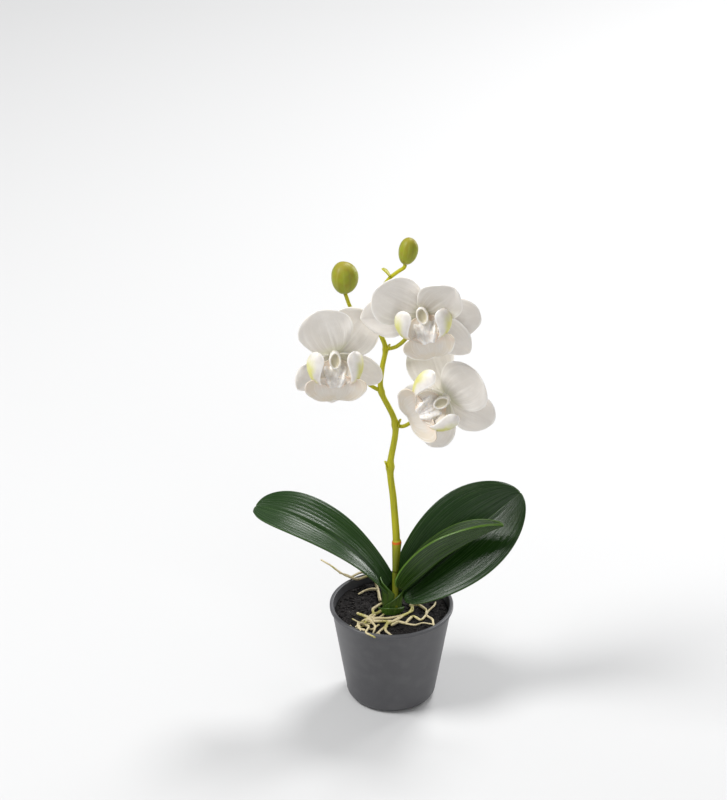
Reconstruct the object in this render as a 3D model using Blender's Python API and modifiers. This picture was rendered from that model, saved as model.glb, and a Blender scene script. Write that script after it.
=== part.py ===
"""Potted moth orchid: three open flowers and two buds on one spike, three leaves, aerial roots,
and a thin-walled plastic pot filled with peat.

Metres, +Z up. The origin is the middle of the pot's underside. The front of the plant faces -Y.
"""
import math
from dataclasses import dataclass, replace

import bmesh
import bpy
from mathutils import Matrix, Vector, noise

MM = 0.001
GAP = 0.3 * MM

# Pot: a turned shell with a rolled rim, standing on its flat bottom.
POT_HEIGHT = 67 * MM
POT_RIM_RADIUS = 40 * MM
POT_MOUTH_RADIUS = 39.0 * MM
POT_FOOT_RADIUS = 29 * MM
POT_EDGE_RADIUS = 6 * MM
POT_WALL = 1.4 * MM
POT_RIM_DEPTH = 2.4 * MM
POT_STEPS = 36
DRAIN_HOLES = 5
DRAIN_HOLE_RADIUS = 3 * MM
DRAIN_CIRCLE_RADIUS = 17 * MM

# Peat: it fills the pot to a little under the rim, and its top is bumpy.
SOIL_LEVEL = 61.5 * MM
SOIL_BUMP = 0.9 * MM
SOIL_BUMP_SIZE = 9 * MM
SOIL_RINGS = 6
SOIL_STEPS = 36

# Crown: the green sheath at the foot of the plant, sunk in the peat. The spike runs up its front.
CROWN_FOOT = 52 * MM
CROWN_TOP = 80 * MM
CROWN_RADIUS = 5.7 * MM
CROWN_RINGS = 7
CROWN_STEPS = 16
CROWN_PLACE = Vector((-0.2 * MM, 1.6 * MM, 0))

# Spike: half its thickness at its foot, above the sheath, at the flowers and at its tip.
STEM_FOOT_RADIUS = 2.0 * MM
STEM_RADIUS = 2.4 * MM
STEM_FLOWER_RADIUS = 1.9 * MM
STEM_TIP_RADIUS = 1.2 * MM
SHEATH_RADIUS = 3.1 * MM
STALK_RADIUS = 1.2 * MM
STALK_END_RADIUS = 1.5 * MM

PETAL_THICKNESS = 0.8 * MM
LIP_THICKNESS = 0.9 * MM
LEAF_THICKNESS = 1.6 * MM
HUB_RADIUS = 3.2 * MM
HUB_HALF_HEIGHT = 1.5 * MM

ROOT_RADIUS = 1.0 * MM
ROOT_TIP_RADIUS = 0.6 * MM
# Seed of the noise that lets the roots wander
ROOT_SEED = 1796108155
ROOT_CLEARANCE = 0.5 * MM
ROOT_CLIMB_START = 28 * MM
ROOT_CLIMB_WIDTH = 4 * MM

# A blade's grid stops a little short of its outline's end, so that no row shrinks to a point.
TIP_ROW = 0.985


@dataclass(frozen=True)
class Blade:
    """Outline and curvature of a leaf, petal or lobe. Lengths in metres, angles in degrees."""
    length: float
    width: float
    base: float = 0.2
    peak: float = 0.55
    fullness: float = 0.6
    bend: float = 0.0
    cup: float = 0.0
    fold: float = 0.0
    wave: float = 0.0
    waves: float = 1.5
    thickness: float = PETAL_THICKNESS
    rows: int = 7
    columns: int = 5


@dataclass(frozen=True)
class Flower:
    """Where a flower sits and how its five petals and sepals lie.

    Yaw turns its face to the viewer's right, pitch turns it up, roll turns it anticlockwise.
    Each petal has an angle anticlockwise from straight up, a lean towards the viewer, and a shape.
    """
    name: str
    centre: Vector
    yaw: float
    pitch: float
    roll: float
    lip_width: float
    petals: tuple


def mm(x, y, z):
    """Place given in millimetres."""
    return Vector((x, y, z)) * MM


PETAL = Blade(length=31 * MM, width=37 * MM, base=0.16, peak=0.56, fullness=0.5, bend=-8, cup=8,
              wave=0.6 * MM)
WIDE_SEPAL = replace(PETAL, length=34 * MM, width=30 * MM, fullness=0.58, bend=-12)
SEPAL = replace(PETAL, length=38 * MM, width=23 * MM, base=0.22, fullness=0.7, bend=-16)

FLOWERS = (
    Flower("flower_left", mm(-36.0, -14, 257.0), yaw=3, pitch=2, roll=0, lip_width=37 * MM, petals=(
        (18, 5, replace(PETAL, width=35 * MM)),
        (-42, -14, replace(PETAL, length=32 * MM, width=34 * MM)),
        (-127, -4, replace(WIDE_SEPAL, length=36 * MM, width=20 * MM)),
        (178, -6, SEPAL),
        (142, -8, replace(SEPAL, length=37 * MM, width=20 * MM)))),
    Flower("flower_top", mm(18.3, -22, 290.5), yaw=0, pitch=0, roll=14, lip_width=31 * MM, petals=(
        (46, 10, replace(PETAL, length=33 * MM, width=35 * MM)),
        (-54, 28, replace(WIDE_SEPAL, length=31 * MM, cup=24)),
        (-121, -6, replace(WIDE_SEPAL, length=37 * MM)),
        (-150, 2, replace(SEPAL, length=41 * MM)),
        (91, -8, replace(SEPAL, length=40 * MM, width=28 * MM)))),
    Flower("flower_right", mm(33.5, -18, 229.0), yaw=-24, pitch=4, roll=-55, lip_width=37 * MM, petals=(
        (8, 12, replace(PETAL, length=31 * MM, width=36 * MM)),
        (-60, -8, replace(WIDE_SEPAL, length=32 * MM)),
        (-142, -2, replace(WIDE_SEPAL, length=40 * MM, width=26 * MM)),
        (168, -6, SEPAL),
        (97, -22, replace(WIDE_SEPAL, length=46 * MM, width=38 * MM)))),
)

# Lip, in a flower's own frame: X to the viewer's right, Y up and Z towards the viewer.
LIP_CLAW = Blade(length=18 * MM, width=18 * MM, base=0.5, peak=0.6, fullness=0.5, bend=-20, cup=40,
                 thickness=LIP_THICKNESS, rows=4, columns=5)
LIP_MIDDLE = Blade(length=18 * MM, width=36 * MM, base=0.35, peak=0.52, fullness=0.5, bend=-35, cup=26,
                   wave=0.8 * MM, thickness=LIP_THICKNESS, rows=5, columns=7)
LIP_SIDE = Blade(length=24 * MM, width=17 * MM, base=0.5, peak=0.5, fullness=0.55, bend=30, cup=50,
                 thickness=LIP_THICKNESS, rows=5, columns=4)

LEAF_LEFT = Blade(length=105 * MM, width=42 * MM, base=0.1, peak=0.68, fullness=0.62, bend=-70, cup=14,
                  fold=8, thickness=LEAF_THICKNESS, rows=12, columns=8)
LEAF_RIGHT = Blade(length=101 * MM, width=57 * MM, base=0.1, peak=0.55, fullness=0.56, bend=-18, cup=-10,
                   fold=16, thickness=LEAF_THICKNESS, rows=12, columns=8)
LEAF_YOUNG = Blade(length=83 * MM, width=30 * MM, base=0.3, peak=0.48, fullness=0.6, bend=-24, cup=20,
                   fold=42, thickness=LEAF_THICKNESS, rows=12, columns=8)

# Roots: routes over the peat, as places seen from above in millimetres, from the crown outwards.
ROOTS_FRONT = (
    ((-6, 5), (-12, -2), (-11, -10), (-17, -13), (-21, -22), (-21, -32), (-17, -34)),
    ((-6, -2), (-15, -12), (-17, -21), (-15, -31), (-17, -37), (-11, -43)),
    ((-22, -6), (-13, -12), (2, -11), (12, -3), (12, 6)),
    ((-15, -14), (-7, -16), (2, -15), (14, -1), (14, 5)),
    ((4, -12), (-2, -19), (-7, -27), (-13, -32)),
    ((-2, -16), (-4, -26), (1, -33)),
    ((-14, -12), (-11, -21), (-12, -28)),
    ((0, -20), (5, -16), (9, -18), (14, -9), (19, -13), (25, -1), (29, 7)),
    ((12, 4), (17, 4), (22, -1), (23, -9), (26, -13), (27, -22)),
)
ROOTS_BACK = (
    ((-7, 9), (-9, 23), (-12, 31), (-22, 27), (-29, 31), (-40, 44), (-46, 51)),
    ((-13, 31), (-19, 35), (-26, 30), (-33, 34)),
    ((-9, 23), (-17, 22), (-21, 18)),
)


# Stem: places along its middle, from inside the crown to the tip.
STEM_ROUTE = (
    mm(2.2, -3.4, 58), mm(2.3, -3.2, 70), mm(2.5, -1.8, 92), mm(3.0, 0.5, 112.6),
    mm(1.0, 2.5, 142.6), mm(-1.2, 4, 166.9), mm(2.0, 5, 196.5), mm(-6.9, 6, 219.9),
    mm(-6.5, 6, 236.1), mm(-4.4, 6, 249.9), mm(-6.9, 6, 259), mm(-12.6, 5, 272),
    mm(-12.0, 4, 283), mm(-7.5, 3, 293.5), mm(-1.4, 2, 302.7))

# Sheath: a bract that wraps the stem up to its lowest node, and widens towards it.
SHEATH_ROUTE = (mm(2.5, -1.8, 92), mm(2.8, -0.6, 102.5), mm(3.2, 0.5, 112.6))

# Swollen nodes of the stem: place, radius and half height in millimetres.
STEM_NODES = (
    (mm(-1.0, 3.9, 166.5), 2.9, 3.4), (mm(2.0, 5, 196.5), 2.7, 3.0),
    (mm(-6.9, 6, 219.9), 2.4, 2.6), (mm(-4.4, 6, 249.9), 2.2, 2.4))

# Flower stalks leave the stem at its nodes; each then runs to the back of its flower.
STALKS = {
    "flower_right": (mm(2.0, 5, 196.5), mm(8.6, 3, 197.2), mm(24, 3, 210)),
    "flower_left": (mm(-6.9, 6, 219.9), mm(-16, 3, 228), mm(-28, -2, 245)),
    "flower_top": (mm(-4.4, 6, 249.9), mm(3.0, 2, 254.5), mm(10, -4, 266)),
}

# Buds: the foot of each, at the end of its stalk, and the way its stalk comes.
BUD_LARGE_FOOT = mm(-30.0, 0, 290.8)
BUD_SMALL_FOOT = mm(7.4, 0.7, 311.8)
BUD_STALKS = {
    "large": (mm(-6.9, 6, 259), mm(-14, 5, 268), mm(-24.8, 2, 279.3), BUD_LARGE_FOOT),
    "small": (mm(-1.4, 2, 302.7), mm(3.5, 1.5, 307), mm(6.8, 1, 309.6), BUD_SMALL_FOOT),
}


def clear_scene():
    """Start from an empty file."""
    for item in list(bpy.data.objects):
        bpy.data.objects.remove(item, do_unlink=True)


def make_collection(name):
    """New collection under the scene."""
    group = bpy.data.collections.new(name)
    bpy.context.scene.collection.children.link(group)
    return group


def make_material(name, colour, roughness, metallic=0.0):
    """Principled material with one colour."""
    finish = bpy.data.materials.new(name)
    finish.use_nodes = True
    shader = finish.node_tree.nodes["Principled BSDF"]
    shader.inputs["Base Color"].default_value = (*colour, 1.0)
    shader.inputs["Roughness"].default_value = roughness
    shader.inputs["Metallic"].default_value = metallic
    return finish


def add_object(name, mesh, group, finish):
    """Object for a mesh, with its material, in its collection."""
    item = bpy.data.objects.new(name, mesh)
    if not mesh.materials:
        mesh.materials.append(finish)
    group.objects.link(item)
    return item


def mesh_from(bm, name):
    """Mesh made from a bmesh, with outward normals and smooth shading."""
    bmesh.ops.recalc_face_normals(bm, faces=bm.faces)
    mesh = bpy.data.meshes.new(name)
    bm.to_mesh(mesh)
    bm.free()
    mesh.shade_smooth()
    return mesh


def arc(centre, radius, start, end, count):
    """Points of an arc in the XZ plane, angles in degrees from +X towards +Z."""
    points = []
    for i in range(count + 1):
        angle = math.radians(start + (end - start) * i / count)
        points.append((centre[0] + radius * math.cos(angle), centre[1] + radius * math.sin(angle)))
    return points


def turned(name, profile, steps, group, finish):
    """Solid of revolution: a profile of (radius, height) points with a Screw modifier."""
    mesh = bpy.data.meshes.new(name)
    bm = bmesh.new()
    verts = [bm.verts.new((x, 0, z)) for x, z in profile]
    for start, end in zip(verts, verts[1:]):
        bm.edges.new((start, end))
    bm.to_mesh(mesh)
    bm.free()
    item = add_object(name, mesh, group, finish)
    screw = item.modifiers.new("Turn", "SCREW")
    screw.steps = steps
    screw.render_steps = steps
    screw.use_merge_vertices = True
    screw.merge_threshold = 0.01 * MM
    screw.use_smooth_shade = True
    return item


def applied(item):
    """Replace an object's mesh by its evaluated mesh, and drop its modifiers."""
    bpy.context.view_layer.update()
    evaluated = item.evaluated_get(bpy.context.evaluated_depsgraph_get())
    mesh = bpy.data.meshes.new_from_object(evaluated)
    item.modifiers.clear()
    item.data = mesh
    return item


def cut(item, cutters):
    """Take the cutters out of an object, each by its own Boolean modifier."""
    for cutter in cutters:
        cutter.hide_render = True
        cutter.display_type = "WIRE"
        step = item.modifiers.new("Cut " + cutter.name, "BOOLEAN")
        step.operation = "DIFFERENCE"
        step.object = cutter
        step.solver = "EXACT"
    return item


def fuse(name, pieces, group, finish):
    """One solid from overlapping pieces, by one Boolean union on a collection."""
    first, *others = pieces
    joined = make_collection("join " + name)
    for piece in others:
        group.objects.unlink(piece)
        joined.objects.link(piece)
    step = first.modifiers.new("Join", "BOOLEAN")
    step.operation = "UNION"
    step.operand_type = "COLLECTION"
    step.collection = joined
    step.solver = "EXACT"
    applied(first)
    for piece in others:
        bpy.data.objects.remove(piece, do_unlink=True)
    bpy.data.collections.remove(joined)
    first.name = name
    first.data.name = name
    first.data.materials.clear()
    first.data.materials.append(finish)
    first.data.shade_smooth()
    return first


def smooth_route(points, spacing):
    """Places along a smooth curve through the given ones, about evenly spaced."""
    route = [Vector(point) for point in points]
    padded = [2 * route[0] - route[1], *route, 2 * route[-1] - route[-2]]
    result = [route[0]]
    for before, start, end, after in zip(padded, padded[1:], padded[2:], padded[3:]):
        count = max(1, round((end - start).length / spacing))
        for i in range(1, count + 1):
            t = i / count
            result.append(0.5 * (2 * start + (end - before) * t
                                 + (2 * before - 5 * start + 4 * end - after) * t ** 2
                                 + (3 * start - before - 3 * end + after) * t ** 3))
    return result


def tube(name, points, radii, group, finish, roundness=1):
    """Closed tube mesh along a route, with a radius at each point."""
    curve = bpy.data.curves.new(name, "CURVE")
    curve.dimensions = "3D"
    curve.bevel_depth = max(radii)
    curve.bevel_resolution = roundness
    curve.render_resolution_u = 0
    curve.use_fill_caps = True
    spline = curve.splines.new("POLY")
    spline.points.add(len(points) - 1)
    for spot, place, radius in zip(spline.points, points, radii):
        spot.co = (*place, 1.0)
        spot.radius = radius / curve.bevel_depth
    guide = bpy.data.objects.new(name + " guide", curve)
    group.objects.link(guide)
    applied_mesh = bpy.data.meshes.new_from_object(
        guide.evaluated_get(bpy.context.evaluated_depsgraph_get()))
    bpy.data.objects.remove(guide, do_unlink=True)
    bm = bmesh.new()
    bm.from_mesh(applied_mesh)
    bpy.data.meshes.remove(applied_mesh)
    bmesh.ops.remove_doubles(bm, verts=bm.verts, dist=0.01 * MM)
    return add_object(name, mesh_from(bm, name), group, finish)


def tapered(count, start, end):
    """Radii that run evenly from start to end."""
    return [start + (end - start) * i / (count - 1) for i in range(count)]


def ball(name, centre, size, group, finish, turn=None, segments=8, rings=5):
    """Ellipsoid with the given half sizes, turned in place."""
    bm = bmesh.new()
    bmesh.ops.create_uvsphere(bm, u_segments=segments, v_segments=rings, radius=1.0)
    place = Matrix.Translation(centre) @ (turn or Matrix()) @ Matrix.Diagonal((*size, 1.0))
    bmesh.ops.transform(bm, matrix=place, verts=bm.verts)
    return add_object(name, mesh_from(bm, name), group, finish)


def blade_outline(shape, u):
    """Share of the full width at u, from the foot at 0 to the tip at 1."""
    power = math.log(0.5) / math.log(shape.peak)
    bow = math.sin(math.pi * u ** power) ** shape.fullness
    return bow + shape.base * (1 - u) ** 4


def blade_point(shape, t, v):
    """Place of a grid point: t runs from foot to tip and v across, from -1 to 1."""
    u = TIP_ROW * (1 - (1 - t) ** 1.4)
    half = 0.5 * shape.width * blade_outline(shape, u)
    along = u + (1 - TIP_ROW) * (1 - v * v) * t ** 4
    turn = math.radians(shape.bend) * along
    reach = shape.length * along
    x = reach
    z = 0.0
    if abs(turn) > 1e-6:
        x = reach * math.sin(turn) / turn
        z = reach * (1 - math.cos(turn)) / turn
    side = half * v
    lift = 0.0
    if shape.cup:
        bow = math.radians(shape.cup)
        side = half * math.sin(bow * v) / bow
        lift = half * (1 - math.cos(bow * v)) / bow
    if shape.fold:
        lift += abs(side) * math.sin(math.radians(shape.fold))
        side *= math.cos(math.radians(shape.fold))
    lift += shape.wave * math.sin(2 * math.pi * shape.waves * along + v) * v * v
    return Vector((x - lift * math.sin(turn), side, z + lift * math.cos(turn)))


def blade(name, shape, place, group, finish):
    """Thin blade: a grid bent to shape, split into triangles, with a Solidify modifier."""
    bm = bmesh.new()
    bmesh.ops.create_grid(bm, x_segments=shape.rows, y_segments=shape.columns, size=1.0)
    for vert in bm.verts:
        vert.co = place @ blade_point(shape, 0.5 * (vert.co.x + 1), vert.co.y)
    bmesh.ops.triangulate(bm, faces=bm.faces)
    mesh = bpy.data.meshes.new(name)
    bm.to_mesh(mesh)
    bm.free()
    mesh.shade_smooth()
    item = add_object(name, mesh, group, finish)
    wall = item.modifiers.new("Thickness", "SOLIDIFY")
    wall.thickness = shape.thickness
    wall.offset = 0.0
    return item


def turn_z(angle):
    """Rotation about Z by an angle in degrees."""
    return Matrix.Rotation(math.radians(angle), 4, "Z")


def turn_y(angle):
    """Rotation about Y by an angle in degrees."""
    return Matrix.Rotation(math.radians(angle), 4, "Y")


def turn_x(angle):
    """Rotation about X by an angle in degrees."""
    return Matrix.Rotation(math.radians(angle), 4, "X")


def flower_frame(flower):
    """Place of a flower: its Z axis is its face, its Y axis points away from its lip."""
    return (Matrix.Translation(flower.centre) @ turn_z(flower.yaw)
            @ turn_x(90 - flower.pitch) @ turn_z(flower.roll))


def soil_height(x, y):
    """Height of the peat's bumpy top."""
    bump = noise.noise(Vector((x, y, 0)) / SOIL_BUMP_SIZE)
    return SOIL_LEVEL + SOIL_BUMP * bump


def pot_inner_radius(height):
    """Inner radius of the pot at a height, above its rounded edge."""
    slope = (POT_MOUTH_RADIUS - POT_FOOT_RADIUS) / (POT_HEIGHT - POT_EDGE_RADIUS)
    outer = POT_FOOT_RADIUS + slope * (height - POT_EDGE_RADIUS)
    return outer - POT_WALL


def make_pot(group, cutters, finish):
    """Thin-walled pot with a rolled rim, a rounded bottom edge and a ring of drain holes."""
    inner_edge = POT_EDGE_RADIUS - POT_WALL
    corner = (POT_FOOT_RADIUS - POT_EDGE_RADIUS, POT_EDGE_RADIUS)
    rim_inner = pot_inner_radius(POT_HEIGHT)
    under_rim = POT_HEIGHT - POT_RIM_DEPTH
    profile = [(0, POT_WALL)]
    profile += arc(corner, inner_edge, -90, 0, 4)
    profile.append((rim_inner, POT_HEIGHT - 0.6 * MM))
    profile.append((rim_inner + 0.5 * MM, POT_HEIGHT))
    profile.append((POT_RIM_RADIUS - 0.7 * MM, POT_HEIGHT))
    profile.append((POT_RIM_RADIUS, POT_HEIGHT - 0.8 * MM))
    profile.append((POT_RIM_RADIUS, under_rim + 0.8 * MM))
    profile.append((POT_RIM_RADIUS - 0.8 * MM, under_rim))
    profile.append((pot_inner_radius(under_rim) + POT_WALL, under_rim - 0.4 * MM))
    profile += arc(corner, POT_EDGE_RADIUS, 0, -90, 5)
    profile.append((0, 0))
    pot = turned("pot", profile, POT_STEPS, group, finish)
    drills = []
    for i in range(DRAIN_HOLES):
        spot = turn_z(360 * i / DRAIN_HOLES) @ Vector((DRAIN_CIRCLE_RADIUS, 0, POT_WALL / 2))
        bm = bmesh.new()
        bmesh.ops.create_cone(bm, cap_ends=True, segments=12, radius1=DRAIN_HOLE_RADIUS,
                              radius2=DRAIN_HOLE_RADIUS, depth=4 * POT_WALL,
                              matrix=Matrix.Translation(spot))
        drills.append(add_object("drain_drill_%d" % i, mesh_from(bm, "drain_drill"), cutters, finish))
    return cut(pot, drills)


def crown_heights():
    """Heights of the crown's rings, from the top down."""
    return [CROWN_TOP + (CROWN_FOOT - CROWN_TOP) * i / CROWN_RINGS for i in range(CROWN_RINGS + 1)]


def crown_radius(height):
    """Outer radius of the crown: a rounded foot that widens slowly to the top."""
    share = (height - CROWN_FOOT) / (CROWN_TOP - CROWN_FOOT)
    return CROWN_RADIUS * (0.86 + 0.14 * share) * min(1.0, 0.6 + 2.0 * share)


def make_spike_drill(cutters, finish):
    """Cutter for the hole of the spike's foot, in the crown's front and in the peat."""
    route = smooth_route(STEM_ROUTE, 12 * MM)[:4]
    below = route[0] - Vector((0, 0, 2 * GAP))
    radii = [STEM_FOOT_RADIUS + 1.5 * GAP] * 5
    return tube("spike_drill", [below, *route], radii, cutters, finish, roundness=4)


def make_soil(group, cutters, spike_drill, finish):
    """Peat that fills the pot, with a bumpy top and a hole where crown and spike stand."""
    corner = (POT_FOOT_RADIUS - POT_EDGE_RADIUS, POT_EDGE_RADIUS)
    edge = POT_EDGE_RADIUS - POT_WALL - GAP
    top_radius = pot_inner_radius(SOIL_LEVEL) - GAP
    profile = [(top_radius * i / SOIL_RINGS, SOIL_LEVEL) for i in range(SOIL_RINGS + 1)]
    profile += arc(corner, edge, 0, -90, 4)
    profile.append((0, POT_WALL + GAP))
    soil = applied(turned("soil", profile, SOIL_STEPS, group, finish))
    for vert in soil.data.vertices:
        if vert.co.z > SOIL_LEVEL - 0.1 * MM:
            vert.co.z = soil_height(vert.co.x, vert.co.y)
    well = [(0, CROWN_TOP)]
    well += [(crown_radius(height) + GAP, height) for height in crown_heights()]
    well.append((crown_radius(CROWN_FOOT) + GAP, CROWN_FOOT - GAP))
    well.append((0, CROWN_FOOT - GAP))
    drill = turned("crown_drill", well, CROWN_STEPS, cutters, finish)
    drill.location = CROWN_PLACE
    return cut(soil, [drill, spike_drill])


def make_crown(group, spike_drill, finish):
    """Green sheath with a groove down its front for the spike."""
    profile = [(0, CROWN_TOP + 1.5 * MM)]
    profile += [(crown_radius(height), height) for height in crown_heights()]
    profile.append((0, CROWN_FOOT))
    crown = turned("crown", profile, CROWN_STEPS, group, finish)
    crown.location = CROWN_PLACE
    return cut(crown, [spike_drill])


def stem_radius(height):
    """Half the stem's thickness at a height, from the four named sizes."""
    stages = ((58 * MM, STEM_FOOT_RADIUS), (92 * MM, STEM_FOOT_RADIUS), (113 * MM, STEM_RADIUS),
              (200 * MM, STEM_FLOWER_RADIUS), (303 * MM, STEM_TIP_RADIUS))
    for (low, start), (high, end) in zip(stages, stages[1:]):
        if height < high:
            return start + (end - start) * max(0.0, height - low) / (high - low)
    return STEM_TIP_RADIUS


def petal_hub_back(flower, depth):
    """Place behind a flower's hub, where its stalk ends."""
    return flower_frame(flower) @ Vector((0, 0, -depth))


def make_spike(group, finish):
    """Flower spike: the stem with its stalks, nodes, bracts and tip scale in one solid."""
    route = smooth_route(STEM_ROUTE, 9 * MM)
    radii = []
    for place in route:
        radii.append(stem_radius(place.z))
    pieces = [tube("stem", route, radii, group, finish, roundness=2)]
    wrap = smooth_route(SHEATH_ROUTE, 6 * MM)
    widths = tapered(len(wrap), STEM_FOOT_RADIUS + 0.2 * MM, SHEATH_RADIUS)
    pieces.append(tube("sheath", wrap, widths, group, finish, roundness=2))
    for flower in FLOWERS:
        behind = petal_hub_back(flower, 9 * MM)
        end = petal_hub_back(flower, HUB_HALF_HEIGHT + GAP)
        path = smooth_route((*STALKS[flower.name], behind, end), 7 * MM)
        radii = tapered(len(path), STALK_RADIUS, STALK_END_RADIUS)
        pieces.append(tube(flower.name + "_stalk", path, radii, group, finish))
    for name, places in BUD_STALKS.items():
        path = smooth_route(places, 6 * MM)
        radii = tapered(len(path), STALK_RADIUS, STALK_RADIUS)
        pieces.append(tube(name + "_bud_stalk", path, radii, group, finish))
    for place, radius, height in STEM_NODES:
        size = (radius * MM, radius * MM, height * MM)
        pieces.append(ball("node", place, size, group, finish))
    scale = Blade(length=9 * MM, width=6 * MM, base=0.3, fullness=0.45, bend=-30, cup=25,
                  thickness=0.9 * MM, rows=4, columns=3)
    place = Matrix.Translation(mm(-1.2, 2, 301.5)) @ turn_z(180) @ turn_y(-66)
    pieces.append(blade("tip_scale", scale, place, group, finish))
    bract = replace(scale, length=7 * MM, bend=-10)
    for x, y, z, side in ((-1.2, 4, 164, 180), (2.0, 5, 194, 0), (-5, 6, 247, 0)):
        place = (Matrix.Translation(mm(x, y, z)) @ turn_z(side) @ turn_y(-78)
                 @ Matrix.Translation((0, 0, -1.6 * MM)))
        pieces.append(blade("bract", bract, place, group, finish))
    return fuse("flower_spike", pieces, group, finish)


def make_bud(name, foot, tilt, side, length, width, group, finish):
    """Closed bud: an egg with three faint ridges, standing on its stalk."""
    bm = bmesh.new()
    bmesh.ops.create_uvsphere(bm, u_segments=15, v_segments=10, radius=1.0)
    for vert in bm.verts:
        ridge = 1 + 0.05 * math.cos(3 * math.atan2(vert.co.y, vert.co.x))
        belly = 1 - 0.16 * vert.co.z
        vert.co.x *= 0.5 * width * ridge * belly
        vert.co.y *= 0.5 * width * ridge * belly
        vert.co.z = 0.5 * length * (vert.co.z + 1) + 1.5 * GAP
    place = Matrix.Translation(foot) @ turn_z(side) @ turn_y(tilt)
    bmesh.ops.transform(bm, matrix=place, verts=bm.verts)
    return add_object(name, mesh_from(bm, name), group, finish)


def make_petals(flower, group, finish):
    """The five petals and sepals of a flower, grown together at a small hub."""
    frame = flower_frame(flower)
    size = (HUB_RADIUS, HUB_RADIUS, HUB_HALF_HEIGHT)
    pieces = [ball("hub", frame.translation, size, group, finish, frame.to_3x3().to_4x4())]
    for angle, lean, shape in flower.petals:
        place = frame @ turn_z(90 + angle) @ turn_y(-lean) @ Matrix.Translation((1.2 * MM, 0, 0))
        pieces.append(blade("petal", shape, place, group, finish))
    return fuse(flower.name + "_petals", pieces, group, finish)


def make_lip(flower, group, finish):
    """Lip: a cupped claw, a broad middle lobe, two upright side lobes and a two-horned callus."""
    frame = flower_frame(flower)
    claw = frame @ Matrix.Translation(mm(0, -2.6, 2.9)) @ turn_z(-90) @ turn_y(-44)
    middle = frame @ Matrix.Translation(mm(0, -9.5, 10.5)) @ turn_z(-90) @ turn_y(-12)
    lobe = replace(LIP_MIDDLE, width=flower.lip_width)
    pieces = [blade("claw", LIP_CLAW, claw, group, finish),
              blade("middle", lobe, middle, group, finish)]
    for side in (-1, 1):
        place = (frame @ Matrix.Translation(mm(9.5 * side, -13, 11)) @ turn_z(90 - 20 * side)
                @ turn_y(12) @ turn_x(-42 * side))
        pieces.append(blade("side", LIP_SIDE, place, group, finish))
        size = (1.7 * MM, 2.8 * MM, 1.9 * MM)
        centre = frame @ mm(2.6 * side, -10, 11.2)
        turn = frame.to_3x3().to_4x4()
        pieces.append(ball("horn", centre, size, group, finish, turn, 6, 5))
    return fuse(flower.name + "_lip", pieces, group, finish)


def make_column(flower, group, finish):
    """Column: the short hooded body in the middle of the flower."""
    frame = flower_frame(flower)
    route = [frame @ mm(0, 0.4, z) for z in (2.0, 3.5)]
    route += [frame @ mm(0, 0.2, 5.5), frame @ mm(0, -0.8, 7.6), frame @ mm(0, -2.4, 9.2)]
    radii = [1.7 * MM, 2.3 * MM, 3.1 * MM, 3.4 * MM, 2.5 * MM]
    return tube(flower.name + "_column", route, radii, group, finish, roundness=2)


def make_leaves(group, leaf, young):
    """The three leaves, each set against the crown."""
    left = (Matrix.Translation(mm(-7.7, 0.8, 76)) @ turn_z(172) @ turn_y(-62) @ turn_x(-15))
    right = (Matrix.Translation(mm(8.1, -1.2, 73)) @ turn_z(7) @ turn_y(-48) @ turn_x(46))
    front = (Matrix.Translation(mm(6.4, -8.2, 82.4)) @ turn_z(0) @ turn_y(-50) @ turn_x(-20))
    return [blade("leaf_left", LEAF_LEFT, left, group, leaf),
            blade("leaf_right", LEAF_RIGHT, right, group, leaf),
            blade("leaf_young", LEAF_YOUNG, front, group, young)]


def root_place(x, y, radius, crosses):
    """Centre of a root at x and y: it lies on the peat, and climbs early where it crosses the rim."""
    ground = soil_height(x, y) + ROOT_CLEARANCE
    if crosses:
        climb = (math.hypot(x, y) - ROOT_CLIMB_START) / ROOT_CLIMB_WIDTH
        ground += (POT_HEIGHT + 2 * GAP - ground) * min(1.0, max(0.0, climb))
    return Vector((x, y, ground + radius))


def make_roots(name, routes, group, finish):
    """A bunch of aerial roots that cross and grow together."""
    pieces = []
    for number, route in enumerate(routes):
        flat = smooth_route([(x * MM, y * MM, 0) for x, y in route], 5 * MM)
        crosses = flat[-1].length > pot_inner_radius(POT_HEIGHT) - 1 * MM
        radii = tapered(len(flat), ROOT_RADIUS, ROOT_TIP_RADIUS)
        places = []
        for step, (spot, radius) in enumerate(zip(flat, radii)):
            wander = noise.noise_vector(Vector((number * 3.1, step * 0.9, 0))) * 0.9 * MM
            place = root_place(spot.x + wander.x, spot.y + wander.y, radius, crosses)
            place.z += abs(wander.z)
            places.append(place)
        pieces.append(tube("root", places, radii, group, finish))
    return fuse(name, pieces, group, finish)


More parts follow.
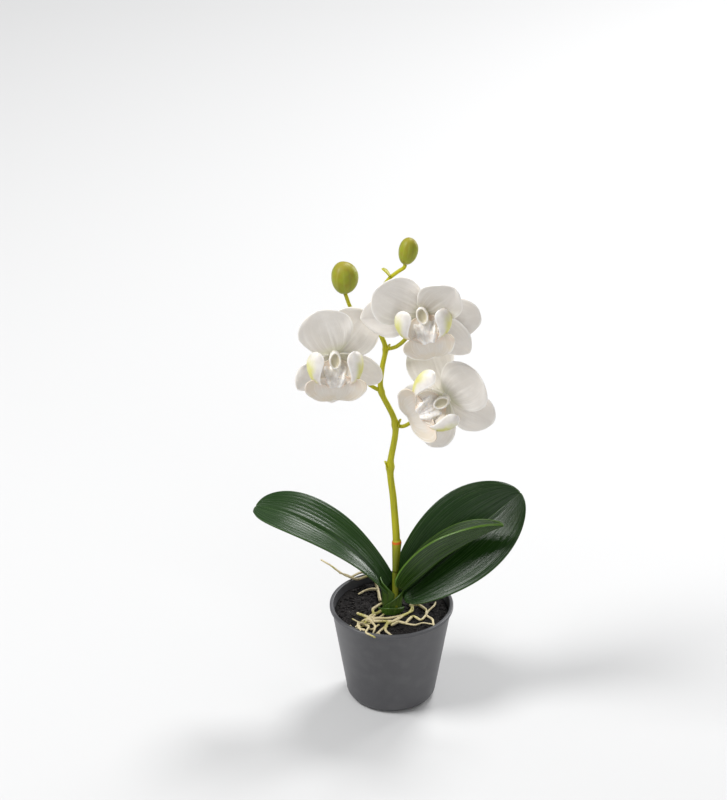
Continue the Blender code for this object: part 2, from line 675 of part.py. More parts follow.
def main():
    clear_scene()
    noise.seed_set(ROOT_SEED)
    group = make_collection("potted_moth_orchid")
    cutters = make_collection("cutters")
    pot = make_material("pot_plastic", (0.085, 0.085, 0.09), 0.4)
    peat = make_material("peat", (0.012, 0.01, 0.009), 0.95)
    sheath = make_material("crown_green", (0.05, 0.13, 0.03), 0.45)
    leaf = make_material("leaf_green", (0.018, 0.05, 0.016), 0.35)
    young = make_material("young_leaf_green", (0.045, 0.1, 0.015), 0.4)
    stem = make_material("stem_olive", (0.3, 0.31, 0.03), 0.45)
    bud = make_material("bud_olive", (0.26, 0.32, 0.03), 0.45)
    petal = make_material("petal_white", (0.78, 0.76, 0.73), 0.6)
    lip = make_material("lip_cream", (0.8, 0.76, 0.66), 0.55)
    column = make_material("column_cream", (0.72, 0.72, 0.55), 0.55)
    root = make_material("root_cream", (0.6, 0.54, 0.28), 0.7)

    make_pot(group, cutters, pot)
    spike_drill = make_spike_drill(cutters, stem)
    make_soil(group, cutters, spike_drill, peat)
    make_crown(group, spike_drill, sheath)
    make_leaves(group, leaf, young)
    make_spike(group, stem)
    make_bud("bud_large", BUD_LARGE_FOOT, -6, 0, 22 * MM, 17.5 * MM, group, bud)
    make_bud("bud_small", BUD_SMALL_FOOT, 8, 0, 18 * MM, 12 * MM, group, bud)
    for flower in FLOWERS:
        make_petals(flower, group, petal)
        make_lip(flower, group, lip)
        make_column(flower, group, column)
    make_roots("aerial_roots_front", ROOTS_FRONT, group, root)
    make_roots("aerial_roots_back", ROOTS_BACK, group, root)


main()
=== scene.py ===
"""Potted moth orchid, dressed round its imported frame: petals, lips, columns, buds, spike, leaves,
crown, roots, peat and pot, with a plain floor, soft light and a camera.

Metres, +Z up, flowers facing -Y. A flower's own frame has X to the viewer's right, Y up and Z
towards the viewer.
"""

import math
import random
from dataclasses import dataclass, replace

import bmesh
import bpy
from bpy.props import FloatProperty, FloatVectorProperty, IntProperty, PointerProperty
from mathutils import Matrix, Vector, noise


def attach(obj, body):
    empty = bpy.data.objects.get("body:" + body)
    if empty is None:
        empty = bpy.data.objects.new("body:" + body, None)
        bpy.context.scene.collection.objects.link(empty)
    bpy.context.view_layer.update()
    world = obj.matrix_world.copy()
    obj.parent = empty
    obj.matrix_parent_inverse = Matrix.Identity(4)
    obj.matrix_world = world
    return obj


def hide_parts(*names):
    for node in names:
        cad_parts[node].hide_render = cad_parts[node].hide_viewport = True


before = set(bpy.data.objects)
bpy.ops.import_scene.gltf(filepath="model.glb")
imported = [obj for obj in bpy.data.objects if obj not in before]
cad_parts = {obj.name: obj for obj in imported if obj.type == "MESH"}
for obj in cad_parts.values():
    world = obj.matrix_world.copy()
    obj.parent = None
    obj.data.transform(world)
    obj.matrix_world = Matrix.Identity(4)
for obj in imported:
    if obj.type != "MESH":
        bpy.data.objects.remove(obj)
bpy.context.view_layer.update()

bl_info = {
    "name": "Potted Moth Orchid",
    "version": (1, 0, 0),
    "blender": (4, 5, 0),
    "location": "3D View > Sidebar > Orchid",
    "description": "Builds a potted moth orchid with white flowers round its packed frame",
    "category": "Add Mesh",
}

MM = 0.001

# Pot and peat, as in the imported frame
POT_HEIGHT = 67 * MM
POT_RIM_RADIUS = 40 * MM
POT_MOUTH_RADIUS = 39 * MM
POT_FOOT_RADIUS = 29 * MM
POT_EDGE_RADIUS = 6 * MM
POT_WALL = 1.4 * MM
POT_RIM_DEPTH = 2.4 * MM
DRAIN_HOLES = 5
DRAIN_HOLE_RADIUS = 3 * MM
DRAIN_CIRCLE_RADIUS = 17 * MM
SOIL_LEVEL = 61.5 * MM
SOIL_BUMP = 0.9 * MM
SOIL_BUMP_SIZE = 9 * MM
GAP = 0.3 * MM

# Spike: half its thickness by height
STEM_STAGES = ((58, 2.0), (92, 2.0), (113, 2.4), (200, 1.9), (303, 1.2))
STALK_RADIUS = 1.2 * MM
STALK_END_RADIUS = 1.5 * MM
HUB_HALF_HEIGHT = 1.5 * MM
HUB_RADIUS = 3.2 * MM

# Rows of a blade crowd towards its tip, and the last one stops just short of the outline's end.
# Relief dies out where a blade's half width is less than this.
ROW_CROWDING = 1.8
LAST_ROW = 0.99999
NARROW = 5 * MM


@dataclass(frozen=True)
class Blade:
    """Outline and curvature of a leaf, petal or lobe. Lengths in metres, angles in degrees."""
    length: float
    width: float
    base: float = 0.2
    peak: float = 0.55
    fullness: float = 0.6
    bend: float = 0.0
    cup: float = 0.0
    fold: float = 0.0
    wave: float = 0.0
    waves: float = 1.5
    clasp: float = 0.0


@dataclass(frozen=True)
class Flower:
    """Where a flower sits, how its lip is set, and the angle, lean and shape of each petal and sepal.

    Each of its two side lobes has a tilt outwards in degrees, a move outwards and upwards and a
    share of the full height.
    """
    name: str
    centre: Vector
    yaw: float
    pitch: float
    roll: float
    lip_width: float
    lobes_turn: float
    lip_rise: float
    lobes: tuple
    petals: tuple


def mm(x, y, z):
    """Place given in millimetres."""
    return Vector((x, y, z)) * MM


PETAL = Blade(length=31 * MM, width=37 * MM, base=0.16, peak=0.56, fullness=0.5, bend=-8, cup=8,
              wave=0.6 * MM)
WIDE_SEPAL = replace(PETAL, length=34 * MM, width=30 * MM, fullness=0.58, bend=-12)
SEPAL = replace(PETAL, length=38 * MM, width=23 * MM, base=0.22, fullness=0.7, bend=-16)

FLOWERS = (
    Flower("flower_left", mm(-36.0, -14, 257.0), yaw=3, pitch=2, roll=0, lip_width=37 * MM,
           lobes_turn=0, lip_rise=0.0, lobes=((0, 0, 0, 1.0), (0, 0, 0, 1.0)), petals=(
        (18, 5, replace(PETAL, width=35 * MM)),
        (-42, -14, replace(PETAL, length=32 * MM, width=34 * MM)),
        (-127, -4, replace(WIDE_SEPAL, length=36 * MM, width=20 * MM)),
        (178, -6, SEPAL),
        (142, -8, replace(SEPAL, length=37 * MM, width=20 * MM)))),
    Flower("flower_top", mm(18.3, -22, 290.5), yaw=0, pitch=0, roll=14, lip_width=31 * MM,
           lobes_turn=-11, lip_rise=2.2 * MM, lobes=((0, 0, 1, 0.86), (0, 0, 1.5, 0.86)), petals=(
        (46, 10, replace(PETAL, length=33 * MM, width=35 * MM)),
        (-54, 28, replace(WIDE_SEPAL, length=31 * MM, cup=24)),
        (-121, -6, replace(WIDE_SEPAL, length=37 * MM)),
        (-150, 2, replace(SEPAL, length=41 * MM)),
        (91, -8, replace(SEPAL, length=40 * MM, width=28 * MM)))),
    Flower("flower_right", mm(33.5, -18, 229.0), yaw=-24, pitch=4, roll=-55, lip_width=37 * MM,
           lobes_turn=0, lip_rise=0.0, lobes=((16, 1.5, 2.5, 1.0), (0, 0, 0, 1.0)), petals=(
        (8, 12, replace(PETAL, length=31 * MM, width=36 * MM)),
        (-60, -8, replace(WIDE_SEPAL, length=32 * MM)),
        (-142, -2, replace(WIDE_SEPAL, length=40 * MM, width=26 * MM)),
        (168, -6, SEPAL),
        (97, -22, replace(WIDE_SEPAL, length=46 * MM, width=38 * MM)))),
)

LIP_CLAW = Blade(length=16.5 * MM, width=25 * MM, base=0.35, peak=0.55, fullness=0.5, bend=-34, cup=44)
LIP_MIDDLE = Blade(length=21 * MM, width=37 * MM, base=0.5, peak=0.36, fullness=0.7, bend=-56, cup=36,
                   wave=0.4 * MM)

# Right side lobe: its outer and inner edge from foot to tip in the flower's own frame
LOBE_OUTER = (
    mm(10.5, -14.6, 9.5), mm(14.4, -11, 8), mm(17, -5, 7), mm(17, 0.5, 7.6), mm(15.2, 5, 9.2),
    mm(13, 7.4, 11), mm(10.6, 8.3, 13))
LOBE_INNER = (
    mm(8.2, -15.4, 11.5), mm(9.4, -11, 14.8), mm(9.2, -6, 16.2), mm(8, -1, 16.8),
    mm(7, 3.4, 16.6), mm(7.6, 6.6, 15.6), mm(9.8, 8.1, 13.8))
LOBE_FOOT = mm(9.4, -15, 10.5)
LOBE_LENGTH = 24 * MM
# Depth of a side lobe's cup as a share of its width
LOBE_BULGE = 0.25

# Callus in mm: half width, lowest and highest place, and its ridges, right half: distance from the
# midline at foot and top, width, height and peach share
CALLUS_HALF_WIDTH = 9.5
CALLUS_SPAN = (-17.4, -4.4)
CALLUS_RIDGES = (
    (2.1, 7.0, 1.5, 2.7, 0.0),
    (0.2, 1.8, 0.9, 0.7, 0.1),
    (3.4, 10.4, 0.6, 1.3, 1.0),
)

# Mouth of the column's hood: thickness and depth of each inset in mm, and how hollow it is
HOOD_STEPS = (
    (0.3, 0.3, 0.0), (0.35, 0.05, 0.1), (0.35, -0.25, 0.4), (0.35, -0.5, 0.8), (0.5, -0.6, 1.0),
    (0.7, -0.4, 1.0))
# Middle line of the column from its foot: upwards and forwards in mm
HOOD_ROUTE = ((0.6, 1.8), (0.1, 4.0), (-0.2, 6.0), (0, 8.0), (0.5, 9.8))
HOOD_WIDEST = 0.75
HOOD_FLATTEN = 1.45

LEAF_LEFT = Blade(length=105 * MM, width=41 * MM, base=0.42, peak=0.7, fullness=0.4, bend=-65, cup=14,
                  fold=5, clasp=50)
LEAF_RIGHT = Blade(length=102 * MM, width=61 * MM, base=0.2, peak=0.58, fullness=0.5, bend=-18, cup=-10,
                   fold=16, clasp=40)
LEAF_YOUNG = Blade(length=83 * MM, width=30 * MM, base=0.3, peak=0.48, fullness=0.6, bend=-24, cup=20,
                   fold=42)
GROWN_RIBS = 7
YOUNG_RIBS = 5
# Leaves: shape, foot, angles about Z, Y and X in degrees, ribs on each half and their height share
LEAVES = (
    ("leaf_left", LEAF_LEFT, mm(-3.4, 0.6, 77), (172, -60, -15), GROWN_RIBS, 1.0),
    ("leaf_right", LEAF_RIGHT, mm(6.6, -1.2, 73.5), (7, -46, 46), GROWN_RIBS, 1.0),
    ("leaf_young", LEAF_YOUNG, mm(6.4, -8.2, 82.4), (0, -50, -20), YOUNG_RIBS, 0.7),
)

# Routes of the roots over the peat, seen from above in millimetres
ROOTS_FRONT = (
    ((-6, 5), (-12, -2), (-11, -10), (-17, -13), (-21, -22), (-21, -32), (-17, -34)),
    ((-6, -2), (-15, -12), (-17, -21), (-15, -31), (-17, -37), (-11, -43)),
    ((-22, -6), (-13, -12), (2, -11), (12, -3), (12, 6)),
    ((-15, -14), (-7, -16), (2, -15), (14, -1), (14, 5)),
    ((4, -12), (-2, -19), (-7, -27), (-13, -32)),
    ((-2, -16), (-4, -26), (1, -33)),
    ((-14, -12), (-11, -21), (-12, -28)),
    ((0, -20), (5, -16), (9, -18), (14, -9), (19, -13), (25, -1), (29, 7)),
    ((12, 4), (17, 4), (22, -1), (23, -9), (26, -13), (27, -22)),
)
ROOTLETS_FRONT = (
    ((-12, -16), (-18, -22), (-24, -24), (-27, -20)),
    ((-16, -20), (-21, -27), (-20, -34)),
    ((-8, -20), (-13, -25), (-19, -26), (-23, -30)),
    ((-3, -22), (-8, -28), (-7, -35)),
    ((9, -18), (15, -20), (20, -17), (27, -19)),
    ((-5, -8), (-12, -14), (-20, -16), (-25, -12)),
)
ROOTS_BACK = (
    ((-7, 9), (-9, 23), (-12, 31), (-22, 27), (-29, 31), (-40, 44), (-46, 51)),
    ((-13, 31), (-19, 35), (-26, 30), (-33, 34)),
    ((-9, 23), (-17, 22), (-21, 18)),
)
# Roots of each bunch, with their share of the full thickness
ROOT_BUNCHES = {
    "aerial_roots_front": ((1.0, ROOTS_FRONT), (0.7, ROOTLETS_FRONT)),
    "aerial_roots_back": ((1.0, ROOTS_BACK),),
}
ROOT_CLEARANCE = 0.5 * MM
ROOT_CLIMB_START = 28 * MM
ROOT_CLIMB_WIDTH = 4 * MM

STEM_ROUTE = (
    mm(2.2, -3.4, 58), mm(2.3, -3.2, 70), mm(2.5, -1.8, 92), mm(3.0, 0.5, 112.6),
    mm(1.0, 2.5, 142.6), mm(-1.2, 4, 166.9), mm(2.0, 5, 196.5), mm(-6.9, 6, 219.9),
    mm(-6.5, 6, 236.1), mm(-4.4, 6, 249.9), mm(-6.9, 6, 259), mm(-12.6, 5, 272),
    mm(-12.0, 4, 283), mm(-7.5, 3, 293.5), mm(-1.4, 2, 302.7))
SHEATH_ROUTE = (mm(2.5, -1.8, 92), mm(2.8, -0.6, 102.5), mm(3.2, 0.5, 112.6))
STEM_RING_HEIGHT = 112.6 * MM
STEM_NODES = ((166.5, 0.9, 3.0), (196.5, 0.7, 2.8), (219.9, 0.5, 2.4), (249.9, 0.5, 2.2))
STALKS = {
    "flower_right": (mm(2.0, 5, 196.5), mm(8.6, 3, 197.2), mm(24, 3, 210)),
    "flower_left": (mm(-6.9, 6, 219.9), mm(-16, 3, 228), mm(-28, -2, 245)),
    "flower_top": (mm(-4.4, 6, 249.9), mm(3.0, 2, 254.5), mm(10, -4, 266)),
}
BUD_LARGE_FOOT = mm(-29.4, 0, 292.2)
BUD_SMALL_FOOT = mm(7.4, 0.7, 311.8)
# Buds: foot, tilt in degrees, length and width
BUDS = (
    ("bud_large", BUD_LARGE_FOOT, -3, 21 * MM, 16.8 * MM),
    ("bud_small", BUD_SMALL_FOOT, 10, 18 * MM, 12 * MM),
)
BUD_SEAM_WIDTH = 0.07
BUD_STALKS = (
    (mm(-6.9, 6, 259), mm(-14, 5, 268), mm(-24.8, 2, 279.3), BUD_LARGE_FOOT),
    (mm(-1.4, 2, 302.7), mm(3.5, 1.5, 307), mm(6.8, 1, 309.6), BUD_SMALL_FOOT),
)

# Scale at the spike's tip, and bracts at its nodes with the way they face in degrees
TIP_SCALE = Blade(length=9 * MM, width=6 * MM, base=0.3, fullness=0.45, bend=-30, cup=25)
TIP_SCALE_FOOT = mm(-1.2, 2, 301.5)
BRACT = replace(TIP_SCALE, length=7 * MM, bend=-10)
BRACTS = ((mm(-1.2, 4, 164), 180), (mm(2.0, 5, 194), 0), (mm(-5, 6, 247), 0))

CROWN_PLACE = mm(-0.2, 1.6, 0)
CROWN_FOOT = 52 * MM
CROWN_TOP = 72 * MM
CROWN_RADIUS = 5.7 * MM
# Leaf bases: facing and spread in degrees, radius, lowest and highest point and flare
CROWN_COLLARS = (
    (185, 165, 5.8 * MM, 56 * MM, 86 * MM, 1.2 * MM),
    (2, 150, 6.8 * MM, 56 * MM, 79 * MM, 1.6 * MM),
    (-88, 125, 8.0 * MM, 56 * MM, 67.5 * MM, 0.3 * MM),
)

# Bark crumbs: seed of their places, and how far they tilt in degrees
CRUMB_SEED = 11
CRUMB_TILT = 35

# Softboxes: place, height of the point they face on the plant's axis, width and watts
LAMPS = (
    ("key softbox", (-1.1, -0.3, 1.6), 0.2, 0.8, 29.0),
    ("rear softbox", (0.6, 1.1, 1.6), 0.12, 0.7, 25.0),
    ("edge softbox", (1.1, 1.0, 0.5), 0.15, 0.5, 10.0),
    ("front fill", (0.6, -1.8, 1.0), 0.2, 1.4, 9.0),
)
SKY_COLOUR = (0.97, 0.98, 1.0, 1.0)
SKY_STRENGTH = 0.33

# Seed of the noise that shapes the crumbs and lets the roots wander
NOISE_SEED = 5

# Camera of the photograph
CAMERA_PLACE = Vector((-0.0181, -2.0255, 1.3444))
CAMERA_AHEAD = Vector((0, 0.8738, -0.4863))
CAMERA_LENS = 166.5
CAMERA_SENSOR = 36.0


def length_size(name, description, default):
    """Size in metres that a user can change."""
    return FloatProperty(name=name, description=description, default=default, unit="LENGTH", precision=5)


def paint(name, description, default):
    """Colour that a user can change, in linear light."""
    return FloatVectorProperty(name=name, description=description, default=default, subtype="COLOR",
                               min=0.0, max=1.0)


class OrchidSizes(bpy.types.PropertyGroup):
    """Sizes of the plant's thin parts and loose crumbs."""
    petal_thickness: length_size("Petal thickness", "Thickness of petals and sepals", 0.55 * MM)
    lip_thickness: length_size("Lip thickness", "Thickness of the lip's lobes", 0.7 * MM)
    leaf_thickness: length_size("Leaf thickness", "Thickness of the leaves", 1.3 * MM)
    petal_ruffle: length_size("Petal ruffle", "Depth of the waves in a petal's margin", 0.9 * MM)
    leaf_rib: length_size("Leaf rib height", "Height of the parallel ribs of a leaf", 0.07 * MM)
    root_radius: length_size("Root radius", "Half the thickness of a root at the crown", 1.0 * MM)
    root_tip_radius: length_size("Root tip radius", "Half the thickness of a root at its tip", 0.6 * MM)
    crumb_radius: length_size("Crumb radius", "Half the size of the largest bark crumbs", 1.5 * MM)
    crumbs: IntProperty(name="Crumbs", description="Number of bark crumbs on the peat", default=900,
                        min=0, max=4000)
    floor_size: length_size("Floor size", "Half the width of the floor", 8.0)


class OrchidColours(bpy.types.PropertyGroup):
    """Colours of the plant, the pot and the floor."""
    petal: paint("Petal", "White of the petals", (0.74, 0.70, 0.65))
    # Brighter white of the petals and lips; along their margins it is painted rim light.
    petal_white_and_rim_light: paint("Petal margin", "Bright margin of the petals", (0.96, 0.93, 0.89))
    petal_vein: paint("Petal vein", "Greyer veins of the petals", (0.50, 0.47, 0.44))
    petal_foot: paint("Petal foot", "Greenish tint at the foot of a petal", (0.60, 0.62, 0.40))
    lip: paint("Lip", "Cream of the lip", (0.72, 0.64, 0.52))
    lip_yellow: paint("Lip yellow", "Yellow of the side lobes", (0.66, 0.64, 0.16))
    blush: paint("Blush", "Peach of the callus and of the lip's middle", (0.80, 0.52, 0.30))
    column: paint("Column", "Greenish beige of the column's hollow", (0.52, 0.47, 0.33))
    leaf: paint("Leaf", "Dark green of the grown leaves", (0.009, 0.032, 0.004))
    # Also paints the grown leaves' lighter midline and margin, partly as painted highlight.
    leaf_rib: paint("Leaf rib", "Lighter green between the ribs", (0.040, 0.090, 0.018))
    young_leaf: paint("Young leaf", "Mid green of the young leaf", (0.012, 0.038, 0.002))
    # Also paints the young leaf's lighter midline and margin, partly as painted highlight.
    young_leaf_rib_and_highlight: paint("Young leaf rib", "Lighter green of its ribs", (0.10, 0.20, 0.02))
    sheath: paint("Sheath", "Green of the crown", (0.055, 0.120, 0.012))
    papery: paint("Papery patches", "Dry patches of the crown", (0.20, 0.20, 0.10))
    stem: paint("Stem", "Olive yellow of the spike", (0.45, 0.43, 0.012))
    stem_shade: paint("Stem shade", "Duller olive in the spike's streaks", (0.24, 0.25, 0.014))
    stem_foot: paint("Stem foot", "Darker green low on the spike", (0.11, 0.14, 0.008))
    stem_ring: paint("Stem ring", "Orange red ring at the lowest node", (0.62, 0.10, 0.008))
    bud: paint("Bud", "Olive green of the buds", (0.28, 0.31, 0.018))
    bud_brown: paint("Bud brown", "Browner patches of the buds", (0.27, 0.21, 0.02))
    bud_vein: paint("Bud vein", "Pale veins of the buds", (0.45, 0.47, 0.10))
    bud_seam: paint("Bud seam", "Dark green in the seams of the buds", (0.10, 0.13, 0.01))
    bud_tip: paint("Bud tip", "Brown at the tip of the buds", (0.30, 0.18, 0.03))
    root: paint("Root", "Cream of the roots", (0.60, 0.51, 0.30))
    root_green: paint("Root green", "Olive of the greener roots", (0.33, 0.31, 0.04))
    root_pale: paint("Root pale", "Pale flecks of the roots", (0.74, 0.68, 0.45))
    root_scar: paint("Root scar", "Brown flecks of the roots", (0.12, 0.08, 0.04))
    peat: paint("Peat", "Black of the damp peat", (0.006, 0.005, 0.005))
    peat_fibre: paint("Peat fibre", "Brown fibres in the peat", (0.022, 0.015, 0.011))
    peat_dry: paint("Peat dry", "Drier patches of the peat", (0.012, 0.010, 0.009))
    pot: paint("Pot", "Dark grey of the pot", (0.075, 0.075, 0.080))
    pot_dust: paint("Pot dust", "Dust on the pot", (0.14, 0.14, 0.145))
    floor: paint("Floor", "Pale floor", (0.60, 0.60, 0.60))
    floor_cloud: paint("Floor cloud", "Slightly darker patches of the floor", (0.55, 0.55, 0.55))


class Value:
    """Output of a shader node. Sums with it add the Math nodes that work them out."""

    def __init__(self, tree, socket):
        self.tree = tree
        self.socket = socket

    def sum(self, operation, *terms):
        """Value that a Math node works out."""
        node = self.tree.nodes.new("ShaderNodeMath")
        node.operation = operation
        for socket, term in zip(node.inputs, terms):
            fill(self.tree, socket, term)
        return Value(self.tree, node.outputs[0])

    def __add__(self, other):
        return self.sum("ADD", self, other)

    def __sub__(self, other):
        return self.sum("SUBTRACT", self, other)

    def __rsub__(self, other):
        return self.sum("SUBTRACT", other, self)

    def __mul__(self, other):
        return self.sum("MULTIPLY", self, other)

    def __abs__(self):
        return self.sum("ABSOLUTE", self)

    __radd__ = __add__
    __rmul__ = __mul__


def fill(tree, socket, value):
    """Link a value to a socket, or write a number or colour into it."""
    if isinstance(value, Value):
        tree.links.new(value.socket, socket)
    elif socket.type == "RGBA":
        socket.default_value = (*value[:3], 1.0)
    else:
        socket.default_value = value


class Finish:
    """Material in the making: nodes are added to it and feed its shader."""

    def __init__(self, name, fixed):
        self.material = bpy.data.materials.new(name)
        self.material.use_nodes = True
        self.tree = self.material.node_tree
        self.shader = self.tree.nodes["Principled BSDF"]
        for socket, value in fixed.items():
            fill(self.tree, self.shader.inputs[socket], value)
        self.place = self.add("TexCoord", output="Object")

    def add(self, kind, settings=None, sockets=None, output=0):
        """Node of any kind: its settings are made first, then its sockets are filled."""
        node = self.tree.nodes.new("ShaderNode" + kind)
        for key, value in (settings or {}).items():
            setattr(node, key, value)
        for key, value in (sockets or {}).items():
            fill(self.tree, node.inputs[key], value)
        return Value(self.tree, node.outputs[output])

    def feed(self, socket, value):
        """Let a value drive one of the shader's sockets."""
        fill(self.tree, self.shader.inputs[socket], value)

    def mix(self, share, first, second):
        """Colour between two others."""
        return self.add("Mix", {"data_type": "RGBA"}, {0: share, 6: first, 7: second}, 2)

    def step(self, value, low, high):
        """Smooth step from 0 at low to 1 at high."""
        return self.add("MapRange", {"interpolation_type": "SMOOTHSTEP"},
                        {"Value": value, "From Min": low, "From Max": high})

    def grain(self, size, detail=2.0, stretch=(1, 1, 1)):
        """Noise with features of about a size, in metres."""
        scaled = self.add("Mapping", {}, {"Vector": self.place, "Scale": stretch})
        return self.add("TexNoise", {}, {"Vector": scaled, "Scale": 1 / size, "Detail": detail})

    def growth(self):
        """The three growth numbers of a blade: along, across and distance from its margin in mm."""
        carried = self.add("Attribute", {"attribute_name": "growth"}, output="Vector")
        return [self.add("SeparateXYZ", {}, {"Vector": carried}, axis) for axis in "XYZ"]

    def streaks(self, along, across, count, run):
        """Uneven streaks that fan out along a blade: about a count of them on each half."""
        place = self.add("CombineXYZ", {}, {"X": across * count, "Y": along * run})
        return self.add("TexNoise", {}, {"Vector": place, "Scale": 1.0, "Detail": 2.0})

    def relief(self, height, depth):
        """Bump on the shader's normal, with its depth in metres."""
        self.feed("Normal", self.add("Bump", {}, {"Height": height, "Distance": depth}))


def translucent(weight, radius):
    """Shader sockets of soft tissue, which lets some light through, more of it in red."""
    return {"Subsurface Weight": weight, "Subsurface Radius": radius, "Subsurface Scale": 0.001}


LIP_TISSUE = translucent(0.15, (1.0, 0.85, 0.6))


def turn_z(angle):
    """Rotation about Z by an angle in degrees."""
    return Matrix.Rotation(math.radians(angle), 4, "Z")


def turn_y(angle):
    """Rotation about Y by an angle in degrees."""
    return Matrix.Rotation(math.radians(angle), 4, "Y")


def turn_x(angle):
    """Rotation about X by an angle in degrees."""
    return Matrix.Rotation(math.radians(angle), 4, "X")


def flower_frame(flower):
    """Place of a flower: its Z axis is its face, its Y axis points away from its lip."""
    return (Matrix.Translation(flower.centre) @ turn_z(flower.yaw)
            @ turn_x(90 - flower.pitch) @ turn_z(flower.roll))


def new_mesh():
    """Empty mesh whose vertices can carry growth numbers."""
    bm = bmesh.new()
    bm.verts.layers.float_vector.new("growth")
    return bm


def finish_piece(bm, name, finish, nodes, wall=0.0, smoothness=0):
    """Object for a mesh: it rides on the plant and stands for its nodes of the frame."""
    mesh = bpy.data.meshes.new(name)
    bm.to_mesh(mesh)
    bm.free()
    mesh.materials.append(finish.material)
    mesh.shade_smooth()
    piece = bpy.data.objects.new(name, mesh)
    bpy.context.scene.collection.objects.link(piece)
    if wall:
        shell = piece.modifiers.new("Thickness", "SOLIDIFY")
        shell.thickness = wall
        shell.offset = 0.0
    if smoothness:
        smooth = piece.modifiers.new("Smooth", "SUBSURF")
        smooth.levels = smoothness
        smooth.render_levels = smoothness
    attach(piece, "root")
    if nodes:
        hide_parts(*nodes)
    return piece


def blade_outline(shape, u):
    """Share of the full width at u, from the foot at 0 to the tip at 1."""
    power = math.log(0.5) / math.log(shape.peak)
    bow = max(0.0, math.sin(math.pi * u ** power)) ** shape.fullness
    return bow + shape.base * (1 - u) ** 4


def blade_point(shape, u, v, half, relief):
    """Place on a blade: u runs from foot to tip and v across, from -1 to 1."""
    turn = math.radians(shape.bend) * u
    reach = shape.length * u
    x = reach
    z = 0.0
    if abs(turn) > 1e-6:
        x = reach * math.sin(turn) / turn
        z = reach * (1 - math.cos(turn)) / turn
    side = half * v
    lift = 0.0
    bow = math.radians(shape.cup + shape.clasp * (1 - u) ** 4)
    if bow:
        side = half * math.sin(bow * v) / bow
        lift = half * (1 - math.cos(bow * v)) / bow
    if shape.fold:
        lift += abs(side) * math.sin(math.radians(shape.fold))
        side *= math.cos(math.radians(shape.fold))
    ripple = shape.wave * math.sin(2 * math.pi * shape.waves * u + v) * v * v + relief
    lift += ripple * min(1.0, half / NARROW)
    return Vector((x - lift * math.sin(turn), side, z + lift * math.cos(turn)))


def grow_blade(bm, shape, place, relief, rows, columns, side=1, rim=0.0):
    """Add a blade: a grid is made, and each of its places is moved onto the bent outline.

    Its growth numbers are the share along, the share across and the millimetres from its margin,
    to which rim is added where no painted rim light is wanted.
    """
    growth = bm.verts.layers.float_vector["growth"]
    grid = bmesh.ops.create_grid(bm, x_segments=rows, y_segments=columns, size=1.0)["verts"]
    for vert in grid:
        t = 0.5 * (vert.co.x + 1)
        v = 0.7 * vert.co.y + 0.3 * math.sin(0.5 * math.pi * vert.co.y)
        u = LAST_ROW * (1 - (1 - t) ** ROW_CROWDING)
        half = 0.5 * shape.width * blade_outline(shape, u)
        margin = min(half * (1 - abs(v)), shape.length * (1 - u)) / MM + rim
        vert[growth] = (u, v * side, margin)
        vert.co = place @ blade_point(shape, u, v, half, relief(u, v))


def grow_shell(bm, outer, inner, bulge, place, rows, columns):
    """Add a cupped lobe between two edges: a grid is stretched from one to the other and bulged.

    Its growth numbers are the share along, the share across, 1 at the outer edge, and the
    millimetres from its margin.
    """
    growth = bm.verts.layers.float_vector["growth"]
    first, last = smooth_route(outer, 0.4 * MM), smooth_route(inner, 0.4 * MM)
    grid = bmesh.ops.create_grid(bm, x_segments=rows, y_segments=columns, size=1.0)["verts"]
    for vert in grid:
        t, v = 0.5 * (vert.co.x + 1), vert.co.y
        here, there = along_route(last, t), along_route(first, t)
        ahead = along_route(first, min(1.0, t + 0.05)) - along_route(first, max(0.0, t - 0.05))
        chord = there - here
        normal = ahead.cross(chord).normalized()
        if normal.z < 0:
            normal.negate()
        margin = min(0.5 * chord.length * (1 - abs(v)), (1 - t) * LOBE_LENGTH) / MM
        vert[growth] = (t, v, margin)
        spot = here + chord * 0.5 * (1 + v) + normal * bulge * chord.length * (1 - v * v)
        vert.co = place @ spot


def grow_callus(bm, place, seed):
    """Add the callus: a grid raised into ridges that spread upwards, with its peach share."""
    growth = bm.verts.layers.float_vector["growth"]
    low, high = CALLUS_SPAN
    grid = bmesh.ops.create_grid(bm, x_segments=64, y_segments=36, size=1.0)["verts"]
    for vert in grid:
        a, t = vert.co.x, 0.5 * (vert.co.y + 1)
        width = CALLUS_HALF_WIDTH * (0.5 + 0.5 * math.sin(math.pi * min(0.5, t)))
        x, y = a * width, low + (high - low) * t
        ends = min(1.0, t / 0.12) ** 0.5
        z = 8.6 + 2.4 * ends - 2.2 * a ** 4 - 6.4 * max(0.0, t - 0.45) ** 1.3 / 0.46
        peach = 0.0
        for foot, top, wide, rise, share in CALLUS_RIDGES:
            ridge = math.exp(-((abs(x) - foot - (top - foot) * t) / wide) ** 2) * ends
            z += rise * ridge
            peach += share * ridge
        z += 0.35 * noise.noise(Vector((0.28 * x, 0.28 * y, seed)))
        vert[growth] = (peach * max(0.0, 1 - 1.5 * t), 0, 0)
        vert.co = place @ mm(x, y, z)


def along_route(route, share):
    """Place at a share of a route's count of places."""
    step = share * (len(route) - 1)
    index = min(int(step), len(route) - 2)
    return route[index].lerp(route[index + 1], step - index)


def petal_relief(seed, ruffle):
    """Relief of a petal: a soft midline, gentle waves and a margin that curls back."""
    def relief(u, v):
        wave = noise.noise(Vector((2.3 * u + seed, 1.7 * v, 3.1 * seed)))
        crease = -0.5 * MM * math.exp(-(v / 0.1) ** 2) * (1 - u)
        rim = math.sin(5 * math.pi * u + 3 * seed) * abs(v) ** 6 * 0.35 * MM
        return ruffle * wave * (0.35 + v * v) + crease + rim - 0.7 * MM * abs(v) ** 8
    return relief


